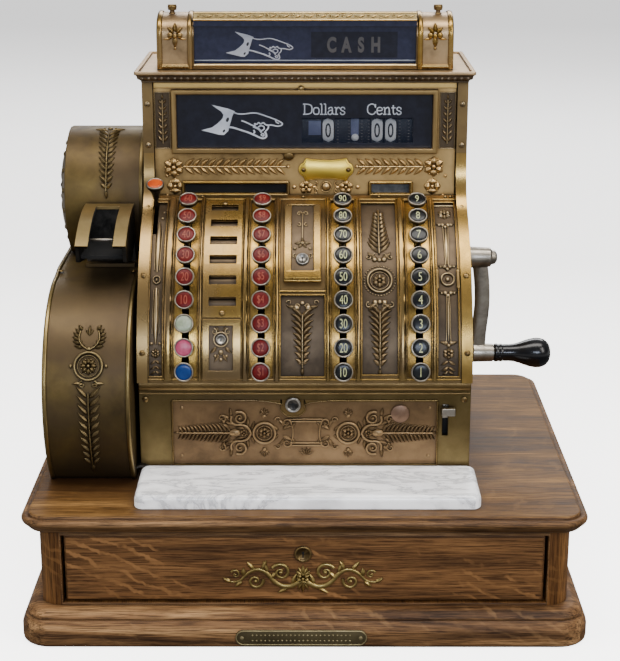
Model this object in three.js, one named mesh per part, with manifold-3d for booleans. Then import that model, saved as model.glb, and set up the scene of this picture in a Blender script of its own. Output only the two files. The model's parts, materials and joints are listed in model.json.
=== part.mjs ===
// A brass cash register with a curved keyboard, a hand crank and a side printer,
// standing on an oak base with a cash drawer.
// Millimetres, +Z up. The origin is the centre of the base on the counter top.
// +X is the clerk's right and -Y faces the clerk.
import * as THREE from 'three';
import { mergeVertices } from 'three/addons/utils/BufferGeometryUtils.js';
import Module from 'manifold-3d';

const wasm = await Module();
wasm.setup();

// ---------------------------------------------------------------- driving dimensions

const GAP = 0.3; // clearance between pieces that only rest beside each other

const PLINTH = { halfX: 271, halfY: 222, top: 38, ledgeZ: 28, ledge: 14, radius: 30 };
const WALL_INSET = 19; // plinth edge to carcass face
const CARCASS = {
  halfX: PLINTH.halfX - WALL_INSET, halfY: PLINTH.halfY - WALL_INSET,
  top: 112, radius: 22, mouthHalfX: 229, mouthBottom: 39, mouthTop: 108, backWall: 14,
};
const BOARD = { halfX: 266.5, halfY: 216, top: 130, radius: 26 };
const DRAWER = {
  halfX: 226.3, bottom: 40.5, top: 107, frontY: -201.5, frontThickness: 18,
  boxHalfX: 218.2, boxBack: 176, boxTop: 98, wall: 8, floor: 6, coinDepth: 112, columns: 5,
};
const RAIL = { width: 9.5, height: 6 };
const MARBLE = { left: -160.5, right: 166.5, front: -193, back: -112.3, thickness: 14, radius: 9 };

const CASE = { halfX: 161.5, back: 148, top: 502.5, web: 5, rimInner: 151, upperRimY: 2 };
const LOWER_PANEL = { front: -112, back: -106.3, top: 231, inset: 2.5 };
const LOWER_FIELD = { left: -129, right: 129, bottom: 144, top: 209.7 };
const LEVER_SLOT = { x: 137, width: 5.4, bottom: 174, top: 206 };

// The keyboard is part of a cylinder that lies along X.
// Angles round it are in degrees, up from the horizontal that points at the clerk.
const KEYBOARD = { y: 71.6, z: 207.6, outer: 194, inner: 189, from: 7, to: 69.2, halfX: 150.7 };
const RIM_RADIUS = 195.5;
const RIM_SWEEP_FROM = 60; // where the rim leaves the cylinder and sweeps up to the sign case
const RIM_SWEEP_TOP = 432;
const FACET_STEP = 3.2;
const STRIP_DEPTH = 2;
const KEY_STRIP = { width: 23, from: 8.4, to: 66.4, slotWidth: 7, slotFrom: 9, slotTo: 62.8 };
const SIDE_STRIPS = [[-152, -137], [128, 148.6]];
const PALM_PANELS = [
  { left: -23.7, right: 19.5, from: 8.7, to: 32.3 },
  { left: 55, right: 90, from: 9.3, to: 65.2 },
];
const COUNTER = { left: -93, right: -66, first: 30.2, step: 6.42, count: 6, height: 2.1 };
const NO_SALE_SLOT = { left: -150.2, right: -145.8, from: 52.6, to: 65.6 };
const LID = { left: -20.4, right: 15.8, from: 35.9, to: 62.8, base: 194.3, top: 200, margin: 4 };

const KEY = {
  face: 213, radius: 9.35, height: 7, stemRadius: 2.5, stemEnd: 176,
  first: 10.85, step: 6.24, count: 9, sides: 10,
};
const RED = 0xa8232b;
const BLACK = 0x1a1a1c;
const TRANSACTION_KEYS = [['paid_out', 0x2250a0], ['received', 0xc06a86], ['charge', 0xb8bcae]];
const KEY_COLUMNS = [
  {
    x: -115,
    key: (i) => (i < 3 ? TRANSACTION_KEYS[i] : [`dollars_${10 * (i - 2)}`, RED]),
  },
  { x: -42, key: (i) => [`dollars_${i + 1}`, RED] },
  { x: 37, key: (i) => [`cents_${10 * (i + 1)}`, BLACK] },
  { x: 110.5, key: (i) => [`cents_${i + 1}`, BLACK] },
];

const UPPER = { front: 6, back: 11, bottom: 385, halfX: 150.7 };
const WINDOW = { left: -128, right: 127, bottom: 436, top: 490, rim: 4.8, rimProud: 4 };
const SLOT_WINDOWS = [[-121, -19], [67, 105]];
const SLOT_WINDOW_Z = [390.5, 399.5];
const GLASS = { front: 11.3, back: 13.3, overlap: 3 };
const DRUM = { y: 60, z: 452, radius: 42, bore: 5.6, shaft: 5, width: 12.6 };
const DRUMS = { dollars_drum: 16.8, dimes_drum: 66, cents_drum: 79.6 };

const CORNICE = { halfX: 168, front: -8, back: 152, bottom: 502.8, top: 514, tray: 512, neck: 6.5 };
const SIGN = { halfX: 147.5, capWidth: 37, front: 22, back: 82, shoulder: 545, top: 565.5, wall: 4 };
const SIGN_FACE = { bottom: 517, top: 556, recess: 6, bandTop: 569 };
const SIGN_SCREW = { x: 133, y: 46, postRadius: 2.4, headRadius: 4.4, headBottom: 568.5, top: 574 };

const PRINTER = { left: -250, right: -165.5, y: -40, z: 207, radius: 108, top: 318.5, back: 99.5 };
const PRINTER_WALL = 4;
const PAPER_DRUM = { left: -243, right: -163.5, y: 70, z: 380, radius: 67, wall: 4, cut: 319 };
const PAPER_DOME = { rim: 60, bulge: 9 };
const GUIDE = { left: -221, right: -172, prong: 12.5, plate: 3.5 };

const CRANK = {
  y: -30, z: 333, length: 100, shaftFrom: 140, shaftRadius: 6, hubFrom: 162.3, hubTo: 184.4,
  hubRadius: 10.7, capTo: 191.5, bossFrom: 168.6, bossTo: 190.5, bossRadius: 9.6,
  spindleRadius: 3, spindleTo: 236,
};
const GRIP = { from: 191, to: 249, bore: 3.5, boreTo: 238 };
const NO_SALE = { x: -148, thickness: 3, angle: 63.8, hub: 9, pin: 4, head: 222, headRadius: 8.3 };

// ---------------------------------------------------------------- materials

const finish = (color, metalness, roughness) => () =>
  new THREE.MeshStandardMaterial({ color, metalness, roughness });
const brass = finish(0x8f7040, 1, 0.42);
const paleBrass = finish(0xb08f4f, 1, 0.34);
const oliveBrass = finish(0x7d6a3c, 1, 0.45);
const oak = finish(0x6e421f, 0, 0.5);
const paleOak = finish(0x8a6238, 0, 0.6);
const marble = finish(0xdedee0, 0, 0.25);
const nickel = finish(0x8f8f88, 1, 0.4);
const blackWood = finish(0x141416, 0, 0.25);
const darkGlass = finish(0x171b2b, 0, 0.08);
const drumEnamel = finish(0x20222c, 0, 0.4);
const orangeEnamel = finish(0xd06a24, 0, 0.35);

// ---------------------------------------------------------------- solids

// A closed three.js geometry as a manifold solid, without the collapsed faces at its poles.
function solid(geometry) {
  const bare = geometry.index ? geometry.toNonIndexed() : geometry.clone();
  bare.deleteAttribute('normal');
  bare.deleteAttribute('uv');
  const merged = mergeVertices(bare, 1e-4);
  const faces = [];
  for (let i = 0; i < merged.index.count; i += 3) {
    const [a, b, c] = [0, 1, 2].map((k) => merged.index.getX(i + k));
    if (a !== b && b !== c && c !== a) faces.push(a, b, c);
  }
  return new wasm.Manifold(new wasm.Mesh({
    numProp: 3,
    vertProperties: new Float32Array(merged.attributes.position.array),
    triVerts: new Uint32Array(faces),
  }));
}

const join = (...solids) => solids.reduce((sum, next) => sum.add(next));
const cut = (body, ...tools) => tools.reduce((left, tool) => left.subtract(tool), body);

function geometryOf(body) {
  const { vertProperties, triVerts } = body.getMesh();
  const geometry = new THREE.BufferGeometry();
  geometry.setAttribute('position', new THREE.BufferAttribute(vertProperties, 3));
  geometry.setIndex(new THREE.BufferAttribute(triVerts, 1));
  geometry.computeVertexNormals();
  return geometry;
}

function box(x0, x1, y0, y1, z0, z1) {
  const geometry = new THREE.BoxGeometry(x1 - x0, y1 - y0, z1 - z0);
  return solid(geometry.translate((x0 + x1) / 2, (y0 + y1) / 2, (z0 + z1) / 2));
}

const X_AXIS = new THREE.Vector3(1, 0, 0);
const Y_AXIS = new THREE.Vector3(0, 1, 0);
const Z_AXIS = new THREE.Vector3(0, 0, 1);

// An outline drawn in (y, z) and extruded along X.
function profile(shape, x0, x1, curveSegments = 12) {
  const geometry = new THREE.ExtrudeGeometry(shape, {
    depth: x1 - x0, bevelEnabled: false, curveSegments, steps: 1,
  });
  geometry.applyMatrix4(new THREE.Matrix4().makeBasis(Y_AXIS, Z_AXIS, X_AXIS));
  return solid(geometry.translate(x0, 0, 0));
}

const outline = (points) => new THREE.Shape(points.map(([y, z]) => new THREE.Vector2(y, z)));

// A turned piece about an axis along X through (y, z); the points are [x, radius].
function turned(points, y, z, sides = 20) {
  const lathe = new THREE.LatheGeometry(points.map(([x, r]) => new THREE.Vector2(r, x)), sides);
  lathe.applyMatrix4(new THREE.Matrix4().makeBasis(Z_AXIS, X_AXIS, Y_AXIS));
  return solid(lathe.translate(0, y, z));
}

const rod = (x0, x1, y, z, radius, sides = 16) =>
  turned([[x0, 0], [x0, radius], [x1, radius], [x1, 0]], y, z, sides);

// A post along Z; the points are [radius, z].
function post(points, x, y, sides = 12) {
  const lathe = new THREE.LatheGeometry(points.map(([r, z]) => new THREE.Vector2(r, z)), sides);
  return solid(lathe.rotateX(Math.PI / 2).translate(x, y, 0));
}

// A level ring of points round a rectangle with rounded corners, seen anticlockwise from above.
function roundedRing({ x = 0, y = 0, halfX, halfY, radius }, inset, z, cornerSteps = 4) {
  const r = Math.max(radius - inset, 0.8);
  const cornerX = halfX - inset - r;
  const cornerY = halfY - inset - r;
  const ring = [];
  for (const [sx, sy, start] of [[1, 1, 0], [-1, 1, 90], [-1, -1, 180], [1, -1, 270]]) {
    for (let i = 0; i <= cornerSteps; i += 1) {
      const turn = THREE.MathUtils.degToRad(start + (90 * i) / cornerSteps);
      ring.push(new THREE.Vector3(
        x + sx * cornerX + r * Math.cos(turn), y + sy * cornerY + r * Math.sin(turn), z,
      ));
    }
  }
  return ring;
}

// A solid through level rings given from the bottom up, either closed by a flat
// face at each end or, for a frame, joined from the last ring back to the first.
function loft(rings, isFrame = false) {
  const positions = [];
  const face = (...corners) => corners.forEach((p) => positions.push(p.x, p.y, p.z));
  const count = rings[0].length;
  const bands = isFrame ? rings.length : rings.length - 1;
  for (let i = 0; i < bands; i += 1) {
    const low = rings[i];
    const high = rings[(i + 1) % rings.length];
    for (let j = 0; j < count; j += 1) {
      const k = (j + 1) % count;
      face(low[j], low[k], high[k]);
      face(low[j], high[k], high[j]);
    }
  }
  if (!isFrame) {
    const bottom = rings[0];
    const top = rings[rings.length - 1];
    for (let j = 1; j < count - 1; j += 1) {
      face(bottom[0], bottom[j + 1], bottom[j]);
      face(top[0], top[j], top[j + 1]);
    }
  }
  const geometry = new THREE.BufferGeometry();
  geometry.setAttribute('position', new THREE.Float32BufferAttribute(positions, 3));
  return solid(geometry);
}

const moulding = (size, steps, isFrame = false) =>
  loft(steps.map(([inset, z]) => roundedRing(size, inset, z)), isFrame);

// ---------------------------------------------------------------- keyboard geometry

const radians = THREE.MathUtils.degToRad;
const onKeyboard = (radius, angle) => [
  KEYBOARD.y - radius * Math.cos(radians(angle)),
  KEYBOARD.z + radius * Math.sin(radians(angle)),
];

// A block between two radii and two angles of the keyboard cylinder. Every block bends at the
// same whole steps of angle, so that their facets line up.
function keyboardBlock(x0, x1, innerRadius, outerRadius, from, to) {
  const angles = [from];
  for (let k = Math.floor(from / FACET_STEP) + 1; k * FACET_STEP < to; k += 1) {
    angles.push(k * FACET_STEP);
  }
  angles.push(to);
  const outer = angles.map((angle) => onKeyboard(outerRadius, angle));
  const inner = angles.map((angle) => onKeyboard(innerRadius, angle)).reverse();
  return profile(outline([...outer, ...inner]), x0, x1);
}

// ---------------------------------------------------------------- assembly

const register = new THREE.Group();

function place(name, body, makeMaterial, group = register) {
  const mesh = new THREE.Mesh(geometryOf(body), makeMaterial());
  mesh.name = name;
  group.add(mesh);
  return mesh;
}

// Oak base -----------------------------------------------------------------------

function plinth() {
  const lip = WALL_INSET - GAP;
  const ledgeInset = WALL_INSET + PLINTH.ledge;
  return moulding(PLINTH, [
    [7, 0], [2, 2.2], [0, 7], [0.6, 13], [4, 23], [9, 31], [12.5, 34], [14.5, 34.6],
    [14.5, PLINTH.top], [lip, PLINTH.top], [lip, PLINTH.ledgeZ], [ledgeInset, PLINTH.ledgeZ],
    [ledgeInset, 0],
  ], true);
}

function carcass() {
  const block = moulding(CARCASS, [[0, PLINTH.ledgeZ], [0, CARCASS.top]]);
  const { mouthHalfX, mouthBottom, mouthTop } = CARCASS;
  const backY = CARCASS.halfY - CARCASS.backWall;
  const mouth = box(-mouthHalfX, mouthHalfX, -CARCASS.halfY - 1, backY, mouthBottom, mouthTop);
  const rails = [-1, 1].map((side) => {
    const edges = [side * mouthHalfX, side * (mouthHalfX - RAIL.width)].sort((a, b) => a - b);
    return box(...edges, -178, backY, mouthBottom, mouthBottom + RAIL.height);
  });
  return join(cut(block, mouth), ...rails);
}

function topBoard() {
  return moulding(BOARD, [
    [14, CARCASS.top], [10.5, CARCASS.top + 1.5], [5, CARCASS.top + 3], [1.6, CARCASS.top + 5],
    [0, CARCASS.top + 9], [1.2, CARCASS.top + 13.6], [3.6, CARCASS.top + 15.6],
    [5.4, CARCASS.top + 16], [5.6, BOARD.top],
  ]);
}

function drawerFront() {
  const { halfX, bottom, top, frontY, frontThickness } = DRAWER;
  const bevel = 1.5;
  const back = frontY + frontThickness;
  const slab = box(-halfX, halfX, frontY + bevel, back, bottom, top);
  const face = box(-halfX + bevel, halfX - bevel, frontY, frontY + 3, bottom + bevel, top - bevel);
  return join(slab, face);
}

function drawerBox() {
  const { boxHalfX, boxBack, boxTop, wall, floor, coinDepth, columns } = DRAWER;
  const front = DRAWER.frontY + DRAWER.frontThickness;
  const bottom = DRAWER.bottom + 0.5;
  const pitch = (2 * boxHalfX - wall) / columns;
  const divide = front + wall + coinDepth;
  const cups = [];
  for (let i = 0; i < columns; i += 1) {
    const left = -boxHalfX + wall + i * pitch;
    const right = left + pitch - wall;
    cups.push(box(left, right, front + wall, divide, bottom + floor, boxTop + 1));
    cups.push(box(left, right, divide + wall, boxBack - wall, bottom + floor, boxTop + 1));
  }
  return cut(box(-boxHalfX, boxHalfX, front, boxBack, bottom, boxTop), ...cups);
}

function marbleShelf() {
  const size = {
    x: (MARBLE.left + MARBLE.right) / 2, y: (MARBLE.front + MARBLE.back) / 2,
    halfX: (MARBLE.right - MARBLE.left) / 2, halfY: (MARBLE.back - MARBLE.front) / 2,
    radius: MARBLE.radius,
  };
  const top = BOARD.top + MARBLE.thickness;
  return moulding(size, [
    [1.5, BOARD.top], [0, BOARD.top + 1.5], [0, top - 5], [1.4, top - 1.6], [4.5, top],
  ]);
}

// Brass case ---------------------------------------------------------------------

function sideOutline(shiftY = 0, shiftZ = 0) {
  const shape = new THREE.Shape();
  const [footY, footZ] = onKeyboard(RIM_RADIUS, KEYBOARD.from);
  const [sweepY, sweepZ] = onKeyboard(RIM_RADIUS, RIM_SWEEP_FROM);
  const slope = 1 / Math.tan(radians(RIM_SWEEP_FROM));
  const turnZ = sweepZ + (CASE.upperRimY - sweepY) * slope;
  const y = (value) => value + shiftY;
  const z = (value) => value + shiftZ;
  shape.moveTo(y(LOWER_PANEL.back + GAP), z(BOARD.top));
  shape.lineTo(y(LOWER_PANEL.back + GAP), z(footZ));
  shape.lineTo(y(footY), z(footZ));
  shape.absarc(
    y(KEYBOARD.y), z(KEYBOARD.z), RIM_RADIUS,
    Math.PI - radians(KEYBOARD.from), Math.PI - radians(RIM_SWEEP_FROM), true,
  );
  shape.quadraticCurveTo(y(CASE.upperRimY), z(turnZ), y(CASE.upperRimY), z(RIM_SWEEP_TOP));
  shape.lineTo(y(CASE.upperRimY), z(CASE.top));
  shape.lineTo(y(CASE.back), z(CASE.top));
  shape.lineTo(y(CASE.back), z(BOARD.top));
  return shape;
}

function sideCasting(side) {
  const span = (a, b) => [side * a, side * b].sort((p, q) => p - q);
  const full = profile(sideOutline(), ...span(CASE.rimInner, CASE.halfX), 16);
  const hollow = sideOutline(5, -3);
  return cut(full, profile(hollow, ...span(CASE.rimInner - 5, CASE.halfX - CASE.web), 16));
}

function caseShell() {
  const inside = CASE.halfX - CASE.web;
  const bearing = rod(
    CASE.rimInner - 10, CASE.halfX + 5, CRANK.y, CRANK.z, CRANK.shaftRadius + 0.5,
  );
  const backPlate = box(-CASE.halfX, CASE.halfX, CASE.back - 5, CASE.back, BOARD.top, CASE.top);
  const footBar = box(-inside - 1, inside + 1, -100, -88, BOARD.top, BOARD.top + 8);
  const indicatorShaft = rod(-inside - 1, inside + 1, DRUM.y, DRUM.z, DRUM.shaft, 12);
  const noSalePin = rod(-inside - 1, -144, KEYBOARD.y, KEYBOARD.z, NO_SALE.pin, 12);
  const sides = join(sideCasting(-1), sideCasting(1));
  return join(cut(sides, bearing), backPlate, footBar, indicatorShaft, noSalePin);
}

function lowerFrontPanel() {
  const { front, back, top, inset } = LOWER_PANEL;
  const plate = box(-CASE.halfX, CASE.halfX, front, back, BOARD.top, top);
  const { left, right, bottom, top: fieldTop } = LOWER_FIELD;
  const field = box(left, right, front - 1, front + inset, bottom, fieldTop);
  const half = LEVER_SLOT.width / 2;
  const slot = box(
    LEVER_SLOT.x - half, LEVER_SLOT.x + half, front - 1, back + 1, LEVER_SLOT.bottom, LEVER_SLOT.top,
  );
  return cut(plate, field, slot);
}

function keyboardCover() {
  const { outer, inner, from, to, halfX } = KEYBOARD;
  const shell = keyboardBlock(-halfX, halfX, inner, outer, from, to);
  const sunk = outer - STRIP_DEPTH;
  const above = outer + 5;
  const tools = [];
  for (const { x } of KEY_COLUMNS) {
    const half = KEY_STRIP.width / 2;
    const slot = KEY_STRIP.slotWidth / 2;
    tools.push(keyboardBlock(x - half, x + half, sunk, above, KEY_STRIP.from, KEY_STRIP.to));
    tools.push(keyboardBlock(
      x - slot, x + slot, inner - 5, above, KEY_STRIP.slotFrom, KEY_STRIP.slotTo,
    ));
  }
  for (const [left, right] of SIDE_STRIPS) {
    tools.push(keyboardBlock(left, right, sunk, above, KEY_STRIP.from + 0.4, KEY_STRIP.to - 1));
  }
  for (const panel of PALM_PANELS) {
    tools.push(keyboardBlock(panel.left, panel.right, sunk, above, panel.from, panel.to));
  }
  for (let i = 0; i < COUNTER.count; i += 1) {
    const middle = COUNTER.first + i * COUNTER.step;
    const half = COUNTER.height / 2;
    tools.push(keyboardBlock(
      COUNTER.left, COUNTER.right, inner - 5, above, middle - half, middle + half,
    ));
  }
  const slotTool = NO_SALE_SLOT;
  tools.push(keyboardBlock(
    slotTool.left, slotTool.right, inner - 5, above, slotTool.from, slotTool.to,
  ));
  tools.push(keyboardBlock(
    LID.left + LID.margin, LID.right - LID.margin, inner - 5, above, LID.from + 2, LID.to - 2,
  ));
  return cut(shell, ...tools);
}

function keyboardLid() {
  const skirt = keyboardBlock(LID.left, LID.right, LID.base, LID.top - 1.5, LID.from, LID.to);
  const crown = keyboardBlock(
    LID.left + 1.5, LID.right - 1.5, LID.base + 1, LID.top, LID.from + 0.45, LID.to - 0.45,
  );
  return join(skirt, crown);
}

// Upper case ---------------------------------------------------------------------

function upperFrontFrame() {
  const { front, back, bottom, halfX } = UPPER;
  const { left, right, rim, rimProud } = WINDOW;
  const plate = box(-halfX, halfX, front, back, bottom, CASE.top);
  const raised = box(
    left - rim, right + rim, front - rimProud, front + 1, WINDOW.bottom - rim, WINDOW.top + rim,
  );
  const opening = box(left, right, front - 10, back + 1, WINDOW.bottom, WINDOW.top);
  const slots = SLOT_WINDOWS.map(([x0, x1]) => box(x0, x1, front - 1, back + 1, ...SLOT_WINDOW_Z));
  return cut(join(plate, raised), opening, ...slots);
}

function indicatorGlass() {
  const { overlap } = GLASS;
  return box(
    WINDOW.left - overlap, WINDOW.right + overlap, GLASS.front, GLASS.back,
    WINDOW.bottom - overlap, WINDOW.top + overlap,
  );
}

const drum = (x0) => turned([
  [x0, DRUM.bore], [x0 + DRUM.width, DRUM.bore], [x0 + DRUM.width, DRUM.radius],
  [x0, DRUM.radius], [x0, DRUM.bore],
].reverse(), DRUM.y, DRUM.z, 20);

function cornice() {
  const size = {
    y: (CORNICE.front + CORNICE.back) / 2, halfX: CORNICE.halfX,
    halfY: (CORNICE.back - CORNICE.front) / 2, radius: 3,
  };
  const { bottom, top, tray, neck } = CORNICE;
  return moulding(size, [
    [neck, bottom], [neck, bottom + 1.6], [neck - 2, bottom + 3.4], [2, top - 4],
    [0, top - 3], [0, top - 0.6], [0.8, top], [4, top], [5, tray],
  ]);
}

function signOutline(wall = 0) {
  const { front, back, shoulder, top } = SIGN;
  const floor = CORNICE.tray + GAP - (wall > 0 ? 5 : 0);
  const middle = (front + back) / 2;
  const shape = new THREE.Shape();
  shape.moveTo(front + wall, floor);
  shape.lineTo(front + wall, shoulder);
  shape.bezierCurveTo(front + wall, top - 6 - wall, middle - 16, top - wall, middle, top - wall);
  shape.bezierCurveTo(middle + 16, top - wall, back - wall, top - 6 - wall, back - wall, shoulder);
  shape.lineTo(back - wall, floor);
  return shape;
}

function signBox() {
  const { halfX, capWidth, front, wall } = SIGN;
  const faceHalf = halfX - capWidth;
  const body = profile(signOutline(), -halfX, halfX, 6);
  const hollow = profile(signOutline(SIGN_FACE.recess + wall), -halfX + wall, halfX - wall, 6);
  const recess = box(
    -faceHalf, faceHalf, front - 1, front + SIGN_FACE.recess, SIGN_FACE.bottom, SIGN_FACE.top,
  );
  const crest = box(
    -faceHalf, faceHalf, front + 1, front + 9, SIGN_FACE.top, SIGN_FACE.bandTop,
  );
  const screws = [-1, 1].map((side) => post([
    [0, SIGN.top - 6], [SIGN_SCREW.postRadius, SIGN.top - 6],
    [SIGN_SCREW.postRadius, SIGN_SCREW.headBottom], [SIGN_SCREW.headRadius, SIGN_SCREW.headBottom],
    [SIGN_SCREW.headRadius, SIGN_SCREW.top], [0, SIGN_SCREW.top],
  ], side * SIGN_SCREW.x, SIGN_SCREW.y));
  return join(cut(join(body, crest), recess, hollow), ...screws);
}

// Printer ------------------------------------------------------------------------

function printerOutline(wall = 0) {
  const { y, z, radius, top, back } = PRINTER;
  const r = radius - wall;
  const floor = BOARD.top - (wall > 0 ? 5 : 0);
  const footTurn = Math.PI + Math.asin((z - floor) / r);
  const shape = new THREE.Shape();
  shape.moveTo(y + r * Math.cos(footTurn), floor);
  shape.absarc(y, z, r, footTurn, Math.PI / 2, true);
  shape.lineTo(y + 22, top - wall);
  shape.lineTo(back - wall, top - wall);
  shape.lineTo(back - wall, floor);
  return shape;
}

function printerHousing() {
  const { left, right } = PRINTER;
  const body = profile(printerOutline(), left, right, 20);
  const hollow = profile(
    printerOutline(PRINTER_WALL), left + PRINTER_WALL, right - PRINTER_WALL, 20,
  );
  return cut(body, hollow);
}

function printerDrumCover() {
  const { left, right, y, z, radius, wall, cut: cutZ } = PAPER_DRUM;
  const { rim, bulge } = PAPER_DOME;
  const barrel = turned([
    [left - bulge, 0], [left - bulge + 0.6, 18], [left - bulge + 3, 40], [left - 2.5, rim - 5],
    [left, rim], [left, radius], [right, radius], [right, 0],
  ], y, z, 28);
  const hollow = rod(left + wall, right - wall, y, z, radius - wall, 28);
  const below = box(left - 20, right + 5, y - 90, y + 90, z - 100, cutZ);
  return cut(barrel, hollow, below);
}

function slipGuide() {
  const { left, right, prong, plate } = GUIDE;
  const top = new THREE.Shape();
  top.moveTo(-1, 381);
  top.lineTo(-14, 381);
  top.quadraticCurveTo(-54, 380, -88, 358.5);
  top.lineTo(-86.4, 355.8);
  top.quadraticCurveTo(-52, 376.4, -14, 378);
  top.lineTo(-1, 378);
  const cheek = outline([
    [-86, 357.5], [-82, 341], [-40, 333], [-12, 341], [-1, 352], [-1, 379], [-14, 379],
    [-42, 373.4], [-68, 366],
  ]);
  const sides = [[left, left + prong], [right - prong, right]];
  const bar = box(left, right, -14, -1, 378, 381);
  const wallPlate = box(left, right, -5, -1, PRINTER.top + GAP, 380);
  const foot = box(left, right, -16, -1, PRINTER.top + GAP, PRINTER.top + 4);
  const shelf = box(left + 1, right - 1, -72, -3, 342, 345);
  return join(
    bar, wallPlate, foot, shelf,
    ...sides.map(([x0, x1]) => profile(top, x0, x1, 8)),
    profile(cheek, left, left + plate), profile(cheek, right - plate, right),
  );
}

// Handles and levers -------------------------------------------------------------

function crankArm() {
  const bossZ = CRANK.z - CRANK.length;
  const hub = turned([
    [CRANK.shaftFrom, 0], [CRANK.shaftFrom, CRANK.shaftRadius], [CRANK.hubFrom, CRANK.shaftRadius],
    [CRANK.hubFrom, CRANK.hubRadius + 1], [CRANK.hubFrom + 4, CRANK.hubRadius],
    [CRANK.hubTo, CRANK.hubRadius - 1], [CRANK.hubTo + 1.5, 7.6], [CRANK.capTo - 2, 6.6],
    [CRANK.capTo, 3.6], [CRANK.capTo, 0],
  ], CRANK.y, CRANK.z, 16);
  const boss = turned([
    [CRANK.bossFrom, 0], [CRANK.bossFrom, CRANK.bossRadius - 1.5],
    [CRANK.bossFrom + 2, CRANK.bossRadius], [CRANK.bossTo, CRANK.bossRadius - 0.6],
    [CRANK.bossTo, CRANK.spindleRadius], [CRANK.spindleTo, CRANK.spindleRadius],
    [CRANK.spindleTo, 0],
  ], CRANK.y, bossZ, 16);
  const section = new THREE.Shape();
  section.absellipse(0, 0, 4, 8, 0, Math.PI * 2, false, 0);
  const spine = new THREE.CatmullRomCurve3([
    new THREE.Vector3(174, CRANK.y, CRANK.z - 2), new THREE.Vector3(177, CRANK.y, CRANK.z - 24),
    new THREE.Vector3(178, CRANK.y, CRANK.z - 50), new THREE.Vector3(175.5, CRANK.y, bossZ + 22),
    new THREE.Vector3(174.5, CRANK.y, bossZ + 2),
  ]);
  const bar = solid(new THREE.ExtrudeGeometry(section, {
    steps: 10, curveSegments: 5, bevelEnabled: false, extrudePath: spine,
  }));
  return join(hub, boss, bar);
}

function crankGrip() {
  const { from, to, bore, boreTo } = GRIP;
  return turned([
    [from, bore], [from, 8.4], [from + 2, 9.3], [from + 8, 9], [from + 16, 8.6],
    [from + 26, 10.6], [from + 36, 14], [from + 44, 15.2], [from + 51, 13.8], [to - 2.4, 9],
    [to, 3], [to, 0], [boreTo, 0], [boreTo, bore], [from, bore],
  ], CRANK.y, CRANK.z - CRANK.length, 18);
}

// Both levers are drawn upright and swung to their place round the keyboard axis.
function noSaleLever() {
  const half = NO_SALE.thickness / 2;
  const blade = outline([[-5, 0], [5, 0], [3, 200], [3, 216], [-3, 216], [-3, 200]]);
  const arm = profile(blade, -half, half);
  const hub = rod(-half, half, 0, 0, NO_SALE.hub, 16);
  const head = post([
    [0, 214], [5, 214], [6.4, 217], [NO_SALE.headRadius, 219], [NO_SALE.headRadius, 221.4],
    [NO_SALE.headRadius - 1.6, NO_SALE.head], [0, NO_SALE.head],
  ], 0, 0, 18);
  const bore = rod(-half - 1, half + 1, 0, 0, NO_SALE.pin + 0.5, 12);
  return cut(join(arm, hub, head), bore);
}

function drawerReleaseLever() {
  const { x, top } = LEVER_SLOT;
  const { front, back } = LOWER_PANEL;
  const neck = box(x - 1.9, x + 1.9, front - 6, back + 2, top - 8, top - 3);
  const thumb = box(x - 4, x + 9, front - 9, front - 4, top - 9, top - 1.5);
  const keeper = box(x - 6, x + 6, back + GAP, back + 3, top - 16, top + 4);
  return join(neck, thumb, keeper);
}

function key() {
  const { face, radius, height, stemRadius, stemEnd, sides } = KEY;
  const underside = face - height;
  return post([
    [0, stemEnd], [stemRadius, stemEnd], [stemRadius, underside], [radius, underside],
    [radius, face], [0, face],
  ], 0, 0, sides);
}

// A group that stands at the keyboard axis, turned so that its +Z points out at an angle.
function keyboardGroup(x, angle) {
  const group = new THREE.Group();
  group.position.set(x, KEYBOARD.y, KEYBOARD.z);
  group.rotation.x = Math.PI / 2 - radians(angle);
  register.add(group);
  return group;
}

place('plinth', plinth(), oak);
place('base_carcass', carcass(), oak);
place('top_board', topBoard(), oak);
place('drawer_front', drawerFront(), oak);
place('drawer_box', drawerBox(), paleOak);
place('marble_shelf', marbleShelf(), marble);
place('lower_front_panel', lowerFrontPanel(), brass);
place('case_shell', caseShell(), brass);
place('keyboard_cover', keyboardCover(), brass);
place('keyboard_lid', keyboardLid(), paleBrass);
place('upper_front_frame', upperFrontFrame(), brass);
place('indicator_glass', indicatorGlass(), darkGlass);
Object.entries(DRUMS).forEach(([name, x0]) => place(name, drum(x0), drumEnamel));
place('cornice', cornice(), brass);
place('sign_box', signBox(), paleBrass);
place('printer_housing', printerHousing(), oliveBrass);
place('printer_drum_cover', printerDrumCover(), oliveBrass);
place('slip_guide', slipGuide(), paleBrass);
place('crank_arm', crankArm(), nickel);
place('crank_grip', crankGrip(), blackWood);
place('drawer_release_lever', drawerReleaseLever(), nickel);
place('no_sale_lever', noSaleLever(), orangeEnamel, keyboardGroup(NO_SALE.x, NO_SALE.angle));

for (const column of KEY_COLUMNS) {
  for (let i = 0; i < KEY.count; i += 1) {
    const [label, color] = column.key(i);
    const group = keyboardGroup(column.x, KEY.first + i * KEY.step);
    place(`key_${label}`, key(), finish(color, 0, 0.3), group);
  }
}

export default register;
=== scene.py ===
import json
import math
from dataclasses import dataclass

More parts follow.
